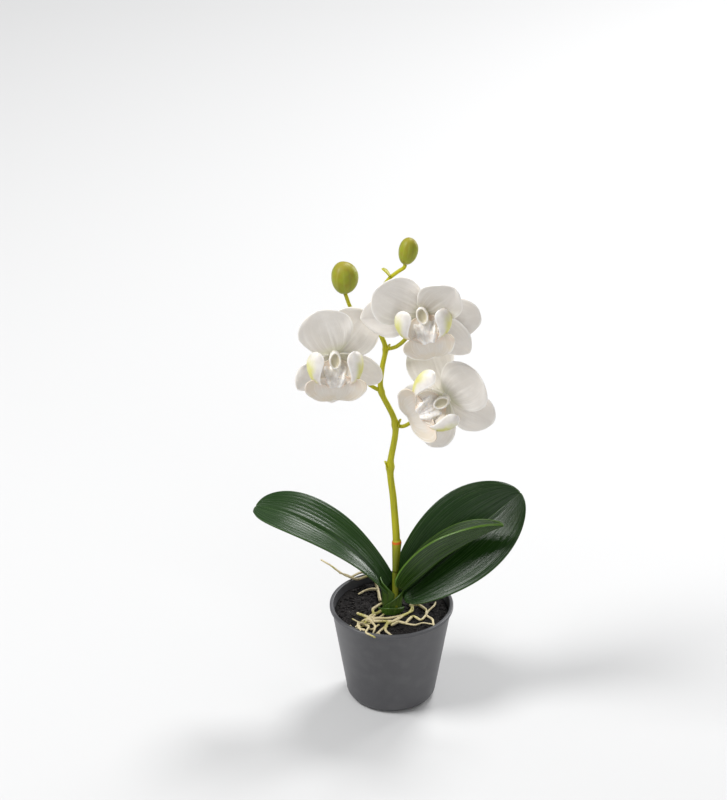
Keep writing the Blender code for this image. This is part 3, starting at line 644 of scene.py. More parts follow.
def leaf_relief(seed, rib, ribs):
    """Relief of a leaf: a midrib groove, parallel ribs and slow waves."""
    def relief(u, v):
        swell = math.sin(math.pi * u) ** 0.5
        groove = -1.3 * MM * math.exp(-(v / 0.07) ** 2) * max(0.0, 1 - (u / 0.93) ** 4)
        lines = rib * math.cos(2 * math.pi * ribs * v) * (1 - v * v) * swell
        slow = 0.9 * MM * noise.noise(Vector((2.5 * u, 1.5 * v, seed))) * swell
        return groove + lines + slow - 0.6 * MM * abs(v) ** 8
    return relief


def flat_relief(u, v):
    """No relief."""
    return 0.0


def smooth_route(points, spacing):
    """Places along a smooth curve through the given ones, about evenly spaced."""
    route = [Vector(point) for point in points]
    padded = [2 * route[0] - route[1], *route, 2 * route[-1] - route[-2]]
    result = [route[0]]
    for before, start, end, after in zip(padded, padded[1:], padded[2:], padded[3:]):
        count = max(1, round((end - start).length / spacing))
        for i in range(1, count + 1):
            t = i / count
            result.append(0.5 * (2 * start + (end - before) * t
                                 + (2 * before - 5 * start + 4 * end - after) * t ** 2
                                 + (3 * start - before - 3 * end + after) * t ** 3))
    return result


def ring_places(points, radii, flatten=1.0, side=None):
    """Matrix of each ring of a tube: placed, turned across the route and scaled to its radius."""
    side = side or (points[1] - points[0]).orthogonal().normalized()
    places = []
    for i, (point, radius) in enumerate(zip(points, radii)):
        ahead = (points[min(i + 1, len(points) - 1)] - points[max(i - 1, 0)]).normalized()
        side = (side - ahead * side.dot(ahead)).normalized()
        turned = Matrix((side * radius, ahead.cross(side) * radius * flatten, ahead * radius)).transposed()
        places.append(Matrix.Translation(point) @ turned.to_4x4())
    return places


def sweep(bm, points, radii, sides=16, flatten=1.0, side=None):
    """Add a closed tube: a ring is extruded from place to place along a route."""
    places = ring_places(points, radii, flatten, side)
    ring = bmesh.ops.create_circle(bm, cap_ends=False, segments=sides, radius=1.0, matrix=places[0])["verts"]
    edges = list({edge for vert in ring for edge in vert.link_edges})
    bmesh.ops.contextual_create(bm, geom=edges)
    for before, after in zip(places, places[1:]):
        made = bmesh.ops.extrude_edge_only(bm, edges=edges)["geom"]
        ring = [item for item in made if isinstance(item, bmesh.types.BMVert)]
        edges = [item for item in made if isinstance(item, bmesh.types.BMEdge)
                 and item.verts[0] in ring and item.verts[1] in ring]
        bmesh.ops.transform(bm, matrix=after @ before.inverted(), verts=ring)
    bmesh.ops.contextual_create(bm, geom=edges)
    return edges


def rounded(points, radii, start=True):
    """A route whose radius closes in a quarter circle at its end, and at its start if wanted."""
    points, radii = list(points), list(radii)
    for at, inner in ((0, 1), (-1, -2)) if start else ((-1, -2),):
        out = (points[at] - points[inner]).normalized()
        radius, foot = radii[at], points[at]
        caps = [(foot + out * radius * math.sin(a), radius * math.cos(a)) for a in (0.5, 0.95, 1.3, 1.5)]
        if at == 0:
            points[0:0] = [cap[0] for cap in reversed(caps)]
            radii[0:0] = [cap[1] for cap in reversed(caps)]
        else:
            points += [cap[0] for cap in caps]
            radii += [cap[1] for cap in caps]
    return points, radii


def tapered(count, start, end):
    """Radii that run evenly from start to end."""
    return [start + (end - start) * i / (count - 1) for i in range(count)]


def soil_height(x, y):
    """Height of the peat's bumpy top."""
    return SOIL_LEVEL + SOIL_BUMP * noise.noise(Vector((x, y, 0)) / SOIL_BUMP_SIZE)


def pot_inner_radius(height):
    """Inner radius of the pot at a height, above its rounded edge."""
    slope = (POT_MOUTH_RADIUS - POT_FOOT_RADIUS) / (POT_HEIGHT - POT_EDGE_RADIUS)
    return POT_FOOT_RADIUS + slope * (height - POT_EDGE_RADIUS) - POT_WALL


def arc(centre, radius, start, end, count):
    """Points of an arc in the XZ plane, angles in degrees from +X towards +Z."""
    angles = [math.radians(start + (end - start) * i / count) for i in range(count + 1)]
    return [(centre[0] + radius * math.cos(a), centre[1] + radius * math.sin(a)) for a in angles]


def spin_profile(profile, steps):
    """Closed mesh of revolution from (radius, height) points."""
    bm = new_mesh()
    verts = [bm.verts.new((x, 0, z)) for x, z in profile]
    edges = [bm.edges.new(pair) for pair in zip(verts, verts[1:])]
    bmesh.ops.spin(bm, geom=verts + edges, axis=(0, 0, 1), cent=(0, 0, 0), angle=2 * math.pi,
                   steps=steps, use_merge=True)
    bmesh.ops.remove_doubles(bm, verts=bm.verts, dist=0.01 * MM)
    bmesh.ops.recalc_face_normals(bm, faces=bm.faces)
    return bm


def petal_finish(paints):
    """Matt white with fine fanning veins, painted rim light along the margin and a greenish foot."""
    finish = Finish("petal white", {"Roughness": 0.5, "Sheen Weight": 0.15, "Specular IOR Level": 0.3,
                                    **translucent(0.12, (1.0, 0.9, 0.75))})
    along, across, margin = finish.growth()
    blotch = finish.grain(6 * MM, 3.0)
    fine = finish.streaks(along, across, 26.0, 1.6)
    broad = finish.streaks(along, across, 7.0, 1.0)
    fade = 1 - finish.step(along, 0.3, 0.95)
    veins = finish.step(fine, 0.5, 0.72) * fade
    glow = finish.step(broad, 0.42, 0.72) * fade
    colour = finish.mix(veins * 0.22, paints.petal, paints.petal_vein)
    colour = finish.mix(glow * 0.45, colour, paints.petal_white_and_rim_light)
    colour = finish.mix(finish.step(blotch, 0.4, 0.75) * 0.2, colour, paints.petal_white_and_rim_light)
    colour = finish.mix((1 - finish.step(along, 0.04, 0.24)) * 0.45, colour, paints.petal_foot)
    # Painted rim light: a thin band along the margin is lightened, unevenly.
    rim = (1 - finish.step(margin, 0.1, 1.5)) * (0.4 + blotch * 0.6)
    colour = finish.mix(rim, colour, paints.petal_white_and_rim_light)
    finish.feed("Base Color", colour)
    finish.relief(finish.grain(0.5 * MM, 1.0) * 0.15 + glow * 0.8 - veins * 0.5 + blotch * 1.5, 0.12 * MM)
    return finish


def lobe_finish(paints):
    """Cream lobes of the lip: yellow on their outer side, with painted rim light along their margin."""
    finish = Finish("lip side", {"Roughness": 0.42, **LIP_TISSUE})
    along, across, margin = finish.growth()
    blotch = finish.grain(5 * MM, 2.0)
    white = finish.mix(finish.step(blotch, 0.3, 0.8) * 0.6, paints.petal, paints.petal_white_and_rim_light)
    band = finish.step(across + blotch * 0.5 - along * 0.6, -0.7, -0.1)
    yellow = band * (1 - finish.step(along + blotch * 0.3, 0.6, 1.0)) * finish.step(blotch, 0.15, 0.45)
    # Painted rim light along the lobe's margin, weaker over the yellow band.
    rim = (1 - finish.step(margin, 0.2, 1.1)) * (1 - band * 0.6)
    colour = finish.mix(rim * 0.8, white, paints.petal_white_and_rim_light)
    colour = finish.mix(yellow * 0.9, colour, paints.lip_yellow)
    foot = (1 - finish.step(along, 0.05, 0.3)) * finish.step(blotch, 0.4, 0.6)
    finish.feed("Base Color", finish.mix(foot * 0.5, colour, paints.blush))
    finish.relief(finish.grain(0.6 * MM, 1.0) * 0.2 + blotch, 0.08 * MM)
    return finish


def middle_finish(paints):
    """Cream middle lobe with a peach throat, fine veins and painted rim light along its margin."""
    finish = Finish("lip middle", {"Roughness": 0.45, **LIP_TISSUE})
    along, across, margin = finish.growth()
    blotch = finish.grain(6 * MM, 2.0)
    fan = finish.streaks(along, across, 14.0, 1.5)
    inner = finish.step(margin, 5.0, 9.0)
    throat = (1 - finish.step(along, 0.05, 0.45)) * finish.step(blotch, 0.4, 0.7)
    colour = finish.mix(finish.step(blotch, 0.35, 0.7) * 0.5, paints.lip, paints.petal)
    colour = finish.mix(finish.step(fan, 0.5, 0.7) * 0.35, colour, paints.petal_white_and_rim_light)
    colour = finish.mix(inner * 0.5, colour, paints.petal)
    colour = finish.mix(throat * 0.45, colour, paints.blush)
    # Painted rim light along the margin, left off near the foot.
    rim = (1 - finish.step(margin, 0.1, 1.6)) * finish.step(along, 0.2, 0.45)
    colour = finish.mix(rim * 0.9, colour, paints.petal_white_and_rim_light)
    finish.feed("Base Color", colour)
    finish.relief(fan * 1.2 + blotch, 0.12 * MM)
    return finish


def callus_finish(paints):
    """White callus with peach keels."""
    finish = Finish("lip callus", {"Roughness": 0.3, **LIP_TISSUE})
    peach = finish.growth()[0] + finish.step(finish.grain(2.5 * MM, 2.0), 0.45, 0.8) * 0.25
    white = finish.mix(finish.step(finish.grain(3 * MM, 2.0), 0.3, 0.7), paints.petal, paints.petal_white_and_rim_light)
    finish.feed("Base Color", finish.mix(peach * 0.75, white, paints.blush))
    finish.relief(finish.grain(0.7 * MM), 0.06 * MM)
    return finish


def column_finish(paints):
    """White column with greenish beige patches, and greenish beige all over its hollow."""
    finish = Finish("column cream", {"Roughness": 0.4, **translucent(0.15, (1.0, 0.9, 0.6))})
    hollow = finish.growth()[0]
    blotch = finish.step(finish.grain(3 * MM, 2.0), 0.35, 0.75)
    colour = finish.mix(blotch * 0.35, paints.petal_white_and_rim_light, paints.column)
    finish.feed("Base Color", finish.mix(0.15 + hollow * 0.85, colour, paints.column))
    finish.relief(finish.grain(1.2 * MM), 0.05 * MM)
    return finish


def leaf_finish(name, blade_colour, rib_and_highlight_colour, ribs):
    """Waxy leaf with parallel ribs, a lighter midline and margin that are partly paler tissue and partly
    painted highlight, and fine cells.
    """
    finish = Finish(name, {"Specular IOR Level": 0.32})
    along, across, margin = finish.growth()
    slow = finish.grain(14 * MM, 3.0)
    line = across.sum("SINE", across * (2 * math.pi * ribs) + slow * 3.0)
    fine = finish.streaks(along, across, 5.0 * ribs, 1.5)
    veins = finish.step(fine, 0.45, 0.75)
    stripes = finish.step(line, 0.1, 1.0) * 0.2 * finish.step(slow, 0.3, 0.7)
    colour = finish.mix(stripes, blade_colour, rib_and_highlight_colour)
    colour = finish.mix(veins * 0.22, colour, rib_and_highlight_colour)
    # Lighter midline: partly paler tissue, partly painted highlight.
    colour = finish.mix((1 - finish.step(abs(across), 0.0, 0.035)) * 0.6, colour, rib_and_highlight_colour)
    # Lighter margin: partly paler tissue, partly painted highlight.
    colour = finish.mix((1 - finish.step(margin, 0.1, 0.9)) * 0.6, colour, rib_and_highlight_colour)
    finish.feed("Base Color", colour)
    cells = finish.grain(0.7 * MM, 2.0)
    finish.feed("Roughness", 0.16 + slow * 0.12 + veins * 0.18 + cells * 0.05)
    finish.relief(cells * 0.4 + line * 0.08 + fine * 1.2, 0.15 * MM)
    return finish


def sheath_finish(paints):
    """Green sheath with streaks along it and papery grey patches near its foot."""
    finish = Finish("crown green", {"Roughness": 0.4})
    streaks = finish.grain(1.2 * MM, 3.0, stretch=(1, 1, 0.12))
    papery = finish.step(finish.grain(2.6 * MM, 4.0), 0.6, 0.7)
    colour = finish.mix(finish.step(streaks, 0.35, 0.7) * 0.6, paints.sheath, paints.leaf)
    colour = finish.mix(papery * 0.2, colour, paints.papery)
    finish.feed("Base Color", colour)
    finish.relief(streaks, 0.15 * MM)
    return finish


def stem_finish(paints):
    """Olive yellow stem with streaks along it and an orange red ring at its lowest node."""
    finish = Finish("stem olive", {"Roughness": 0.45, "Specular IOR Level": 0.3,
                                   **translucent(0.05, (1.0, 0.9, 0.2))})
    height = finish.add("SeparateXYZ", {}, {"Vector": finish.place}, "Z")
    streaks = finish.grain(1.3 * MM, 3.0, stretch=(1, 1, 0.08))
    colour = finish.mix(finish.step(streaks, 0.4, 0.7) * 0.45, paints.stem, paints.stem_shade)
    low = 1 - finish.step(height, 0.095, 0.125)
    colour = finish.mix(low * 0.85, colour, paints.stem_foot)
    wander = finish.grain(2.5 * MM, 2.0) * (2.0 * MM)
    ring = 1 - finish.step(abs(height + wander - (STEM_RING_HEIGHT + 1.6 * MM)), 0.3 * MM, 1.3 * MM)
    colour = finish.mix(ring * 0.9, colour, paints.stem_ring)
    finish.feed("Base Color", colour)
    finish.relief(streaks + finish.grain(0.6 * MM) * 0.3, 0.08 * MM)
    return finish


def bud_finish(paints):
    """Olive green bud with fine veins, darker in its seams and browner at its tip."""
    finish = Finish("bud olive", {"Roughness": 0.45, "Specular IOR Level": 0.3,
                                  **translucent(0.08, (1.0, 0.9, 0.3))})
    height, vein, seam = finish.growth()
    blotch = finish.grain(4 * MM, 3.0)
    colour = finish.mix(finish.step(blotch, 0.4, 0.7) * 0.55, paints.bud, paints.bud_brown)
    colour = finish.mix(finish.step(vein, 0.2, 1.0) * blotch * 0.3, colour, paints.bud_vein)
    colour = finish.mix(seam * 0.35, colour, paints.bud_seam)
    colour = finish.mix(finish.step(height, 0.7, 1.0) * 0.4, colour, paints.bud_tip)
    finish.feed("Base Color", colour)
    finish.relief(vein * 0.5 + blotch, 0.10 * MM)
    return finish


def root_finish(paints):
    """Dull cream roots, greener and browner in places."""
    finish = Finish("root cream", {"Roughness": 0.65})
    slow = finish.grain(11 * MM, 2.0)
    quick = finish.grain(1.1 * MM, 3.0)
    colour = finish.mix(finish.step(slow, 0.5, 0.62) * 0.8, paints.root, paints.root_green)
    colour = finish.mix(finish.step(quick, 0.45, 0.75) * 0.5, colour, paints.root_pale)
    scars = finish.step(finish.grain(2.1 * MM, 4.0), 0.6, 0.7)
    colour = finish.mix(scars * 0.6, colour, paints.root_scar)
    finish.feed("Base Color", colour)
    finish.relief(quick, 0.2 * MM)
    return finish


def peat_finish(paints):
    """Damp black peat with brown fibres and moist glints."""
    finish = Finish("peat black", {"Specular IOR Level": 0.3})
    crumb = finish.grain(1.0 * MM, 4.0)
    patch = finish.grain(7 * MM, 2.0)
    colour = finish.mix(finish.step(crumb, 0.5, 0.72) * 0.8, paints.peat, paints.peat_fibre)
    finish.feed("Base Color", finish.mix(finish.step(patch, 0.5, 0.8) * 0.4, colour, paints.peat_dry))
    finish.feed("Roughness", 0.95 - finish.step(crumb, 0.5, 0.7) * 0.45)
    finish.relief(crumb, 0.8 * MM)
    return finish


def pot_finish(paints):
    """Satin moulded plastic with faint turning marks and dust."""
    finish = Finish("pot plastic", {"Specular IOR Level": 0.45})
    dust = finish.grain(9 * MM, 4.0)
    fine = finish.grain(0.35 * MM, 2.0)
    rings = finish.grain(1.2 * MM, 2.0, stretch=(0.02, 0.02, 1))
    colour = finish.mix(finish.step(dust, 0.4, 0.75) * 0.25, paints.pot, paints.pot_dust)
    finish.feed("Base Color", colour)
    finish.feed("Roughness", 0.34 + dust * 0.12 + fine * 0.08)
    finish.relief(fine * 0.5 + rings * 0.5, 0.03 * MM)
    return finish


def floor_finish(paints):
    """Pale plain floor."""
    finish = Finish("floor pale", {"Specular IOR Level": 0.2})
    cloud = finish.grain(0.4, 2.0)
    finish.feed("Base Color", finish.mix(cloud * 0.06, paints.floor, paints.floor_cloud))
    finish.feed("Roughness", 0.7 + cloud * 0.1)
    return finish


class OrchidPiece:
    """What every operator of this add-on shares."""
    bl_options = {"REGISTER", "UNDO"}

    @property
    def sizes(self):
        return bpy.context.scene.orchid_sizes

    @property
    def paints(self):
        return bpy.context.scene.orchid_colours


class ORCHID_OT_pot(OrchidPiece, bpy.types.Operator):
    """Turn the thin-walled pot, with its rolled rim and its drain holes"""
    bl_idname = "orchid.pot"
    bl_label = "Pot"

    def execute(self, context):
        corner = (POT_FOOT_RADIUS - POT_EDGE_RADIUS, POT_EDGE_RADIUS)
        inside = pot_inner_radius(POT_HEIGHT)
        under_rim = POT_HEIGHT - POT_RIM_DEPTH
        round_rim = 0.7 * MM
        profile = [(0, POT_WALL), (8 * MM, POT_WALL)]
        profile += arc(corner, POT_EDGE_RADIUS - POT_WALL, -90, 0, 8)
        profile += [(inside, POT_HEIGHT - 0.6 * MM)]
        profile += arc((inside + 0.4 * MM, POT_HEIGHT - 0.4 * MM), 0.4 * MM, 180, 90, 4)
        rim = POT_RIM_RADIUS - round_rim
        profile += arc((rim, POT_HEIGHT - round_rim), round_rim, 90, 0, 5)
        profile += arc((rim, under_rim + round_rim), round_rim, 0, -90, 5)
        profile += [(pot_inner_radius(under_rim) + POT_WALL + 0.2 * MM, under_rim)]
        profile += [(pot_inner_radius(under_rim) + POT_WALL, under_rim - 0.4 * MM)]
        profile += arc(corner, POT_EDGE_RADIUS, 0, -90, 10)
        profile += [(8 * MM, 0), (0, 0)]
        bm = spin_profile(profile, 128)
        pot = finish_piece(bm, "pot_shell", pot_finish(self.paints), ["pot"])
        drill = new_mesh()
        for i in range(DRAIN_HOLES):
            spot = turn_z(360 * i / DRAIN_HOLES) @ Vector((DRAIN_CIRCLE_RADIUS, 0, POT_WALL / 2))
            bmesh.ops.create_cone(drill, cap_ends=True, segments=32, radius1=DRAIN_HOLE_RADIUS,
                                  radius2=DRAIN_HOLE_RADIUS, depth=4 * POT_WALL,
                                  matrix=Matrix.Translation(spot))
        drill_mesh = bpy.data.meshes.new("drain drill")
        drill.to_mesh(drill_mesh)
        drill.free()
        cutter = bpy.data.objects.new("drain drill", drill_mesh)
        context.scene.collection.objects.link(cutter)
        step = pot.modifiers.new("Drain holes", "BOOLEAN")
        step.operation = "DIFFERENCE"
        step.object = cutter
        step.solver = "EXACT"
        context.view_layer.update()
        holed = bpy.data.meshes.new_from_object(pot.evaluated_get(context.evaluated_depsgraph_get()))
        pot.modifiers.clear()
        pot.data = holed
        bpy.data.objects.remove(cutter, do_unlink=True)
        return {"FINISHED"}


class ORCHID_OT_peat(OrchidPiece, bpy.types.Operator):
    """Fill the pot with peat and strew bark crumbs over it"""
    bl_idname = "orchid.peat"
    bl_label = "Peat"

    def execute(self, context):
        corner = (POT_FOOT_RADIUS - POT_EDGE_RADIUS, POT_EDGE_RADIUS)
        edge = POT_EDGE_RADIUS - POT_WALL - GAP
        top = pot_inner_radius(SOIL_LEVEL) - GAP
        profile = [(top * i / 44, SOIL_LEVEL) for i in range(45)]
        profile += arc(corner, edge, 0, -90, 6)
        profile.append((0, POT_WALL + GAP))
        bm = spin_profile(profile, 128)
        for vert in bm.verts:
            if vert.co.z > SOIL_LEVEL - 0.1 * MM:
                x, y = vert.co.x, vert.co.y
                rough = noise.fractal(Vector((x, y, 0)) / (3 * MM), 1.0, 2.0, 4)
                vert.co.z = soil_height(x, y) + 0.55 * MM * rough
        finish = peat_finish(self.paints)
        noise.seed_set(NOISE_SEED)
        finish_piece(bm, "peat_fill", finish, ["soil"])
        chance = random.Random(CRUMB_SEED)
        crumbs = new_mesh()
        for _ in range(self.sizes.crumbs):
            angle = chance.uniform(0, 2 * math.pi)
            reach = (top - 1.5 * MM) * math.sqrt(chance.random())
            x, y = reach * math.cos(angle), reach * math.sin(angle)
            size = self.sizes.crumb_radius * chance.uniform(0.25, 1.0) ** 1.6
            width, height = size * chance.uniform(0.4, 0.9), size * chance.uniform(0.3, 0.7)
            shape = Matrix.Diagonal((size, width, height, 1))
            turned = (turn_z(chance.uniform(0, 360)) @ turn_x(chance.uniform(-CRUMB_TILT, CRUMB_TILT))
                      @ turn_y(chance.uniform(-CRUMB_TILT, CRUMB_TILT)))
            place = Matrix.Translation((x, y, soil_height(x, y) + 0.15 * size)) @ turned @ shape
            made = bmesh.ops.create_icosphere(crumbs, subdivisions=1, radius=1.0, matrix=place)["verts"]
            for vert in made:
                vert.co += noise.noise_vector(vert.co / (0.9 * MM)) * size * 0.3
        finish_piece(crumbs, "peat_crumbs", finish, ["soil"])
        return {"FINISHED"}


class ORCHID_OT_crown(OrchidPiece, bpy.types.Operator):
    """Form the green crown out of overlapping leaf bases"""
    bl_idname = "orchid.crown"
    bl_label = "Crown"

    def execute(self, context):
        finish = sheath_finish(self.paints)
        heights = [CROWN_FOOT + (CROWN_TOP - CROWN_FOOT) * i / 14 for i in range(15)]
        share = [(h - CROWN_FOOT) / (CROWN_TOP - CROWN_FOOT) for h in heights]
        profile = [(0, CROWN_FOOT)]
        profile += [(0.82 * CROWN_RADIUS * (0.86 + 0.14 * s) * min(1.0, 0.6 + 2.0 * s), h)
                    for s, h in zip(share, heights)]
        profile.append((0, CROWN_TOP + 1.2 * MM))
        core = spin_profile(profile, 48)
        bmesh.ops.translate(core, vec=CROWN_PLACE, verts=core.verts)
        finish_piece(core, "crown_core", finish, ["crown"])
        collars = new_mesh()
        growth = collars.verts.layers.float_vector["growth"]
        for facing, spread, radius, low, high, flare in CROWN_COLLARS:
            grid = bmesh.ops.create_grid(collars, x_segments=26, y_segments=48, size=1.0)["verts"]
            for vert in grid:
                t, v = 0.5 * (vert.co.x + 1), vert.co.y
                angle = math.radians(facing + spread * v)
                reach = radius * (0.86 + 0.14 * t) + flare * t ** 2 * (1 - v * v)
                lift = (high - low) * t * (1 - 0.62 * abs(v) ** 1.5)
                vert[growth] = (t, v, 5.0)
                vert.co = CROWN_PLACE + Vector((reach * math.cos(angle), reach * math.sin(angle), low + lift))
        finish_piece(collars, "crown_collars", finish, ["crown"], wall=0.9 * MM, smoothness=1)
        return {"FINISHED"}


class ORCHID_OT_leaves(OrchidPiece, bpy.types.Operator):
    """Grow the three leaves from the crown"""
    bl_idname = "orchid.leaves"
    bl_label = "Leaves"

    def execute(self, context):
        paints = self.paints
        wall = self.sizes.leaf_thickness
        grown = leaf_finish("leaf green", paints.leaf, paints.leaf_rib, GROWN_RIBS)
        young = leaf_finish("young leaf green", paints.young_leaf, paints.young_leaf_rib_and_highlight, YOUNG_RIBS)
        looks = {"leaf_left": (grown, "leaf_green"), "leaf_right": (grown, "leaf_green"),
                 "leaf_young": (young, "young_leaf_green")}
        for number, (node, shape, foot, (yaw, pitch, roll), ribs, rise) in enumerate(LEAVES):
            finish, slot = looks[node]
            bm = new_mesh()
            place = Matrix.Translation(foot) @ turn_z(yaw) @ turn_y(pitch) @ turn_x(roll)
            relief = leaf_relief(7.3 * number, rise * self.sizes.leaf_rib, ribs)
            grow_blade(bm, shape, place, relief, 72, 64)
            finish_piece(bm, node + "_blade", finish, [node], wall=wall, smoothness=1)
        return {"FINISHED"}


def stem_radius(height):
    """Half the stem's thickness at a height, swollen at its nodes."""
    height /= MM
    radius = STEM_STAGES[-1][1]
    for (low, start), (high, end) in zip(STEM_STAGES, STEM_STAGES[1:]):
        if height < high:
            radius = start + (end - start) * max(0.0, height - low) / (high - low)
            break
    for level, swell, width in STEM_NODES:
        radius += swell * math.exp(-((height - level) / width) ** 2)
    return radius * MM


class ORCHID_OT_spike(OrchidPiece, bpy.types.Operator):
    """Draw the flower spike with its nodes, stalks, bracts and tip scale"""
    bl_idname = "orchid.spike"
    bl_label = "Flower spike"

    def execute(self, context):
        finish = stem_finish(self.paints)
        bm = new_mesh()
        route = smooth_route(STEM_ROUTE, 1.5 * MM)
        points, radii = rounded(route, [stem_radius(place.z) for place in route], start=False)
        sweep(bm, points, radii, 24)
        wrap = smooth_route(SHEATH_ROUTE, 1.5 * MM)
        widths = [2.15 * MM + 1.0 * MM * (i / (len(wrap) - 1)) ** 1.5 for i in range(len(wrap))]
        sweep(bm, *rounded(wrap, widths, start=False), 24)
        for flower in FLOWERS:
            place = flower_frame(flower)
            behind, end = place @ mm(0, 0, -9), place @ Vector((0, 0, -HUB_HALF_HEIGHT - GAP))
            path = smooth_route((*STALKS[flower.name], behind, end), 1.5 * MM)
            sweep(bm, path, tapered(len(path), STALK_RADIUS, STALK_END_RADIUS), 18)
        for places in BUD_STALKS:
            path = smooth_route(places, 1.5 * MM)
            sweep(bm, path, tapered(len(path), STALK_RADIUS, STALK_RADIUS), 18)
        bmesh.ops.recalc_face_normals(bm, faces=bm.faces)
        finish_piece(bm, "spike_stem", finish, ["flower_spike"])
        scales = new_mesh()
        place = Matrix.Translation(TIP_SCALE_FOOT) @ turn_z(180) @ turn_y(-66)
        grow_blade(scales, TIP_SCALE, place, flat_relief, 14, 12)
        for foot, facing in BRACTS:
            place = (Matrix.Translation(foot) @ turn_z(facing) @ turn_y(-78)
                     @ Matrix.Translation((0, 0, -1.6 * MM)))
            grow_blade(scales, BRACT, place, flat_relief, 14, 12)
        finish_piece(scales, "spike_bracts", finish, ["flower_spike"], wall=0.6 * MM,
                     smoothness=1)
        return {"FINISHED"}


class ORCHID_OT_buds(OrchidPiece, bpy.types.Operator):
    """Shape the two closed buds, each of three sepals that meet in seams"""
    bl_idname = "orchid.buds"
    bl_label = "Buds"

    def execute(self, context):
        finish = bud_finish(self.paints)
        for node, foot, tilt, length, width in BUDS:
            bm = new_mesh()
            growth = bm.verts.layers.float_vector["growth"]
            bmesh.ops.create_uvsphere(bm, u_segments=72, v_segments=40, radius=1.0)
            for vert in bm.verts:
                turn = math.atan2(vert.co.y, vert.co.x)
                reach = math.hypot(vert.co.x, vert.co.y)
                off_seam = min(abs(math.remainder(turn - (2 * k + 1) * math.pi / 3, 2 * math.pi))
                               for k in range(3))
                seam = math.exp(-(off_seam / BUD_SEAM_WIDTH) ** 2)
                vert[growth] = (0.5 * (vert.co.z + 1), math.cos(12 * turn) * reach, seam * reach)
                ridge = 1 + 0.05 * math.cos(3 * turn) - 0.035 * seam * reach
                belly = 1 + 0.05 * vert.co.z
                vert.co.x *= 0.5 * width * ridge * belly
                vert.co.y *= 0.5 * width * ridge * belly
                vert.co.z = 0.5 * length * (vert.co.z + 1) + 1.5 * GAP
            bmesh.ops.transform(bm, matrix=Matrix.Translation(foot) @ turn_y(tilt), verts=bm.verts)
            finish_piece(bm, node + "_sepals", finish, [node])
        return {"FINISHED"}


class ORCHID_OT_petals(OrchidPiece, bpy.types.Operator):
    """Grow the petals and sepals of the three flowers"""
    bl_idname = "orchid.petals"
    bl_label = "Petals"

    def execute(self, context):
        finish = petal_finish(self.paints)
        for number, flower in enumerate(FLOWERS):
            centre = flower_frame(flower)
            bm = new_mesh()
            for count, (angle, lean, shape) in enumerate(flower.petals):
                place = centre @ turn_z(90 + angle) @ turn_y(-lean) @ Matrix.Translation((1.2 * MM, 0, 0))
                relief = petal_relief(1.7 * number + 0.6 * count, self.sizes.petal_ruffle)
                grow_blade(bm, shape, place, relief, 34, 34)
            node = flower.name + "_petals"
            finish_piece(bm, flower.name + "_petal_blades", finish, [node],
                         wall=self.sizes.petal_thickness, smoothness=1)
            hub = new_mesh()
            round_hub = centre @ Matrix.Diagonal((HUB_RADIUS, HUB_RADIUS, HUB_HALF_HEIGHT, 1))
            bmesh.ops.create_uvsphere(hub, u_segments=32, v_segments=16, radius=1.0, matrix=round_hub)
            finish_piece(hub, flower.name + "_petal_hub", finish, [node])
        return {"FINISHED"}


class ORCHID_OT_lips(OrchidPiece, bpy.types.Operator):
    """Form each flower's lip: claw, middle lobe, two upright side lobes and callus"""
    bl_idname = "orchid.lips"
    bl_label = "Lips"

    def execute(self, context):
        paints, wall = self.paints, self.sizes.lip_thickness
        middle, lobes, callus = middle_finish(paints), lobe_finish(paints), callus_finish(paints)
        for number, flower in enumerate(FLOWERS):
            centre = flower_frame(flower)
            rise = Vector((0, flower.lip_rise, 0))
            raised = centre @ Matrix.Translation(0.7 * rise)
            node = flower.name + "_lip"
            bm = new_mesh()
            claw = raised @ Matrix.Translation(mm(0, -2.6, 2.9)) @ turn_z(-90) @ turn_y(-44)
            tongue = centre @ Matrix.Translation(mm(0, -9.5, 10.5)) @ turn_z(-90) @ turn_y(-12)
            relief = petal_relief(2.9 * number + 5.0, 0.3 * MM)
            # The claw's margin distance is raised by 4 mm, so it gets no painted rim light.
            grow_blade(bm, LIP_CLAW, claw, flat_relief, 16, 16, rim=4.0)
            grow_blade(bm, replace(LIP_MIDDLE, width=flower.lip_width), tongue, relief, 28, 34)
            finish_piece(bm, node + "_middle", middle, [node], wall=wall, smoothness=1)
            bm = new_mesh()
            for side, (tilt, out, up, height) in zip((-1, 1), flower.lobes):
                place = (centre @ turn_z(flower.lobes_turn) @ Matrix.Diagonal((side, 1, 1, 1))
                         @ Matrix.Translation(LOBE_FOOT + mm(out, up, 0) + rise) @ turn_z(-tilt)
                         @ Matrix.Diagonal((1, height, 1, 1)) @ Matrix.Translation(-LOBE_FOOT))
                grow_shell(bm, LOBE_OUTER, LOBE_INNER, LOBE_BULGE, place, 30, 24)
            bmesh.ops.recalc_face_normals(bm, faces=bm.faces)
            finish_piece(bm, node + "_sides", lobes, [node], wall=wall, smoothness=1)
            bm = new_mesh()
            grow_callus(bm, raised, 3.3 * number)
            finish_piece(bm, node + "_callus", callus, [node], wall=wall, smoothness=1)
        return {"FINISHED"}


def hood_radius(share):
    """Half the column's thickness at a share of its length."""
    swell = math.sin(0.5 * math.pi * min(1.0, share / HOOD_WIDEST)) ** 1.5
    return (2.2 + 1.7 * swell - 0.9 * max(0.0, share - HOOD_WIDEST)) * MM


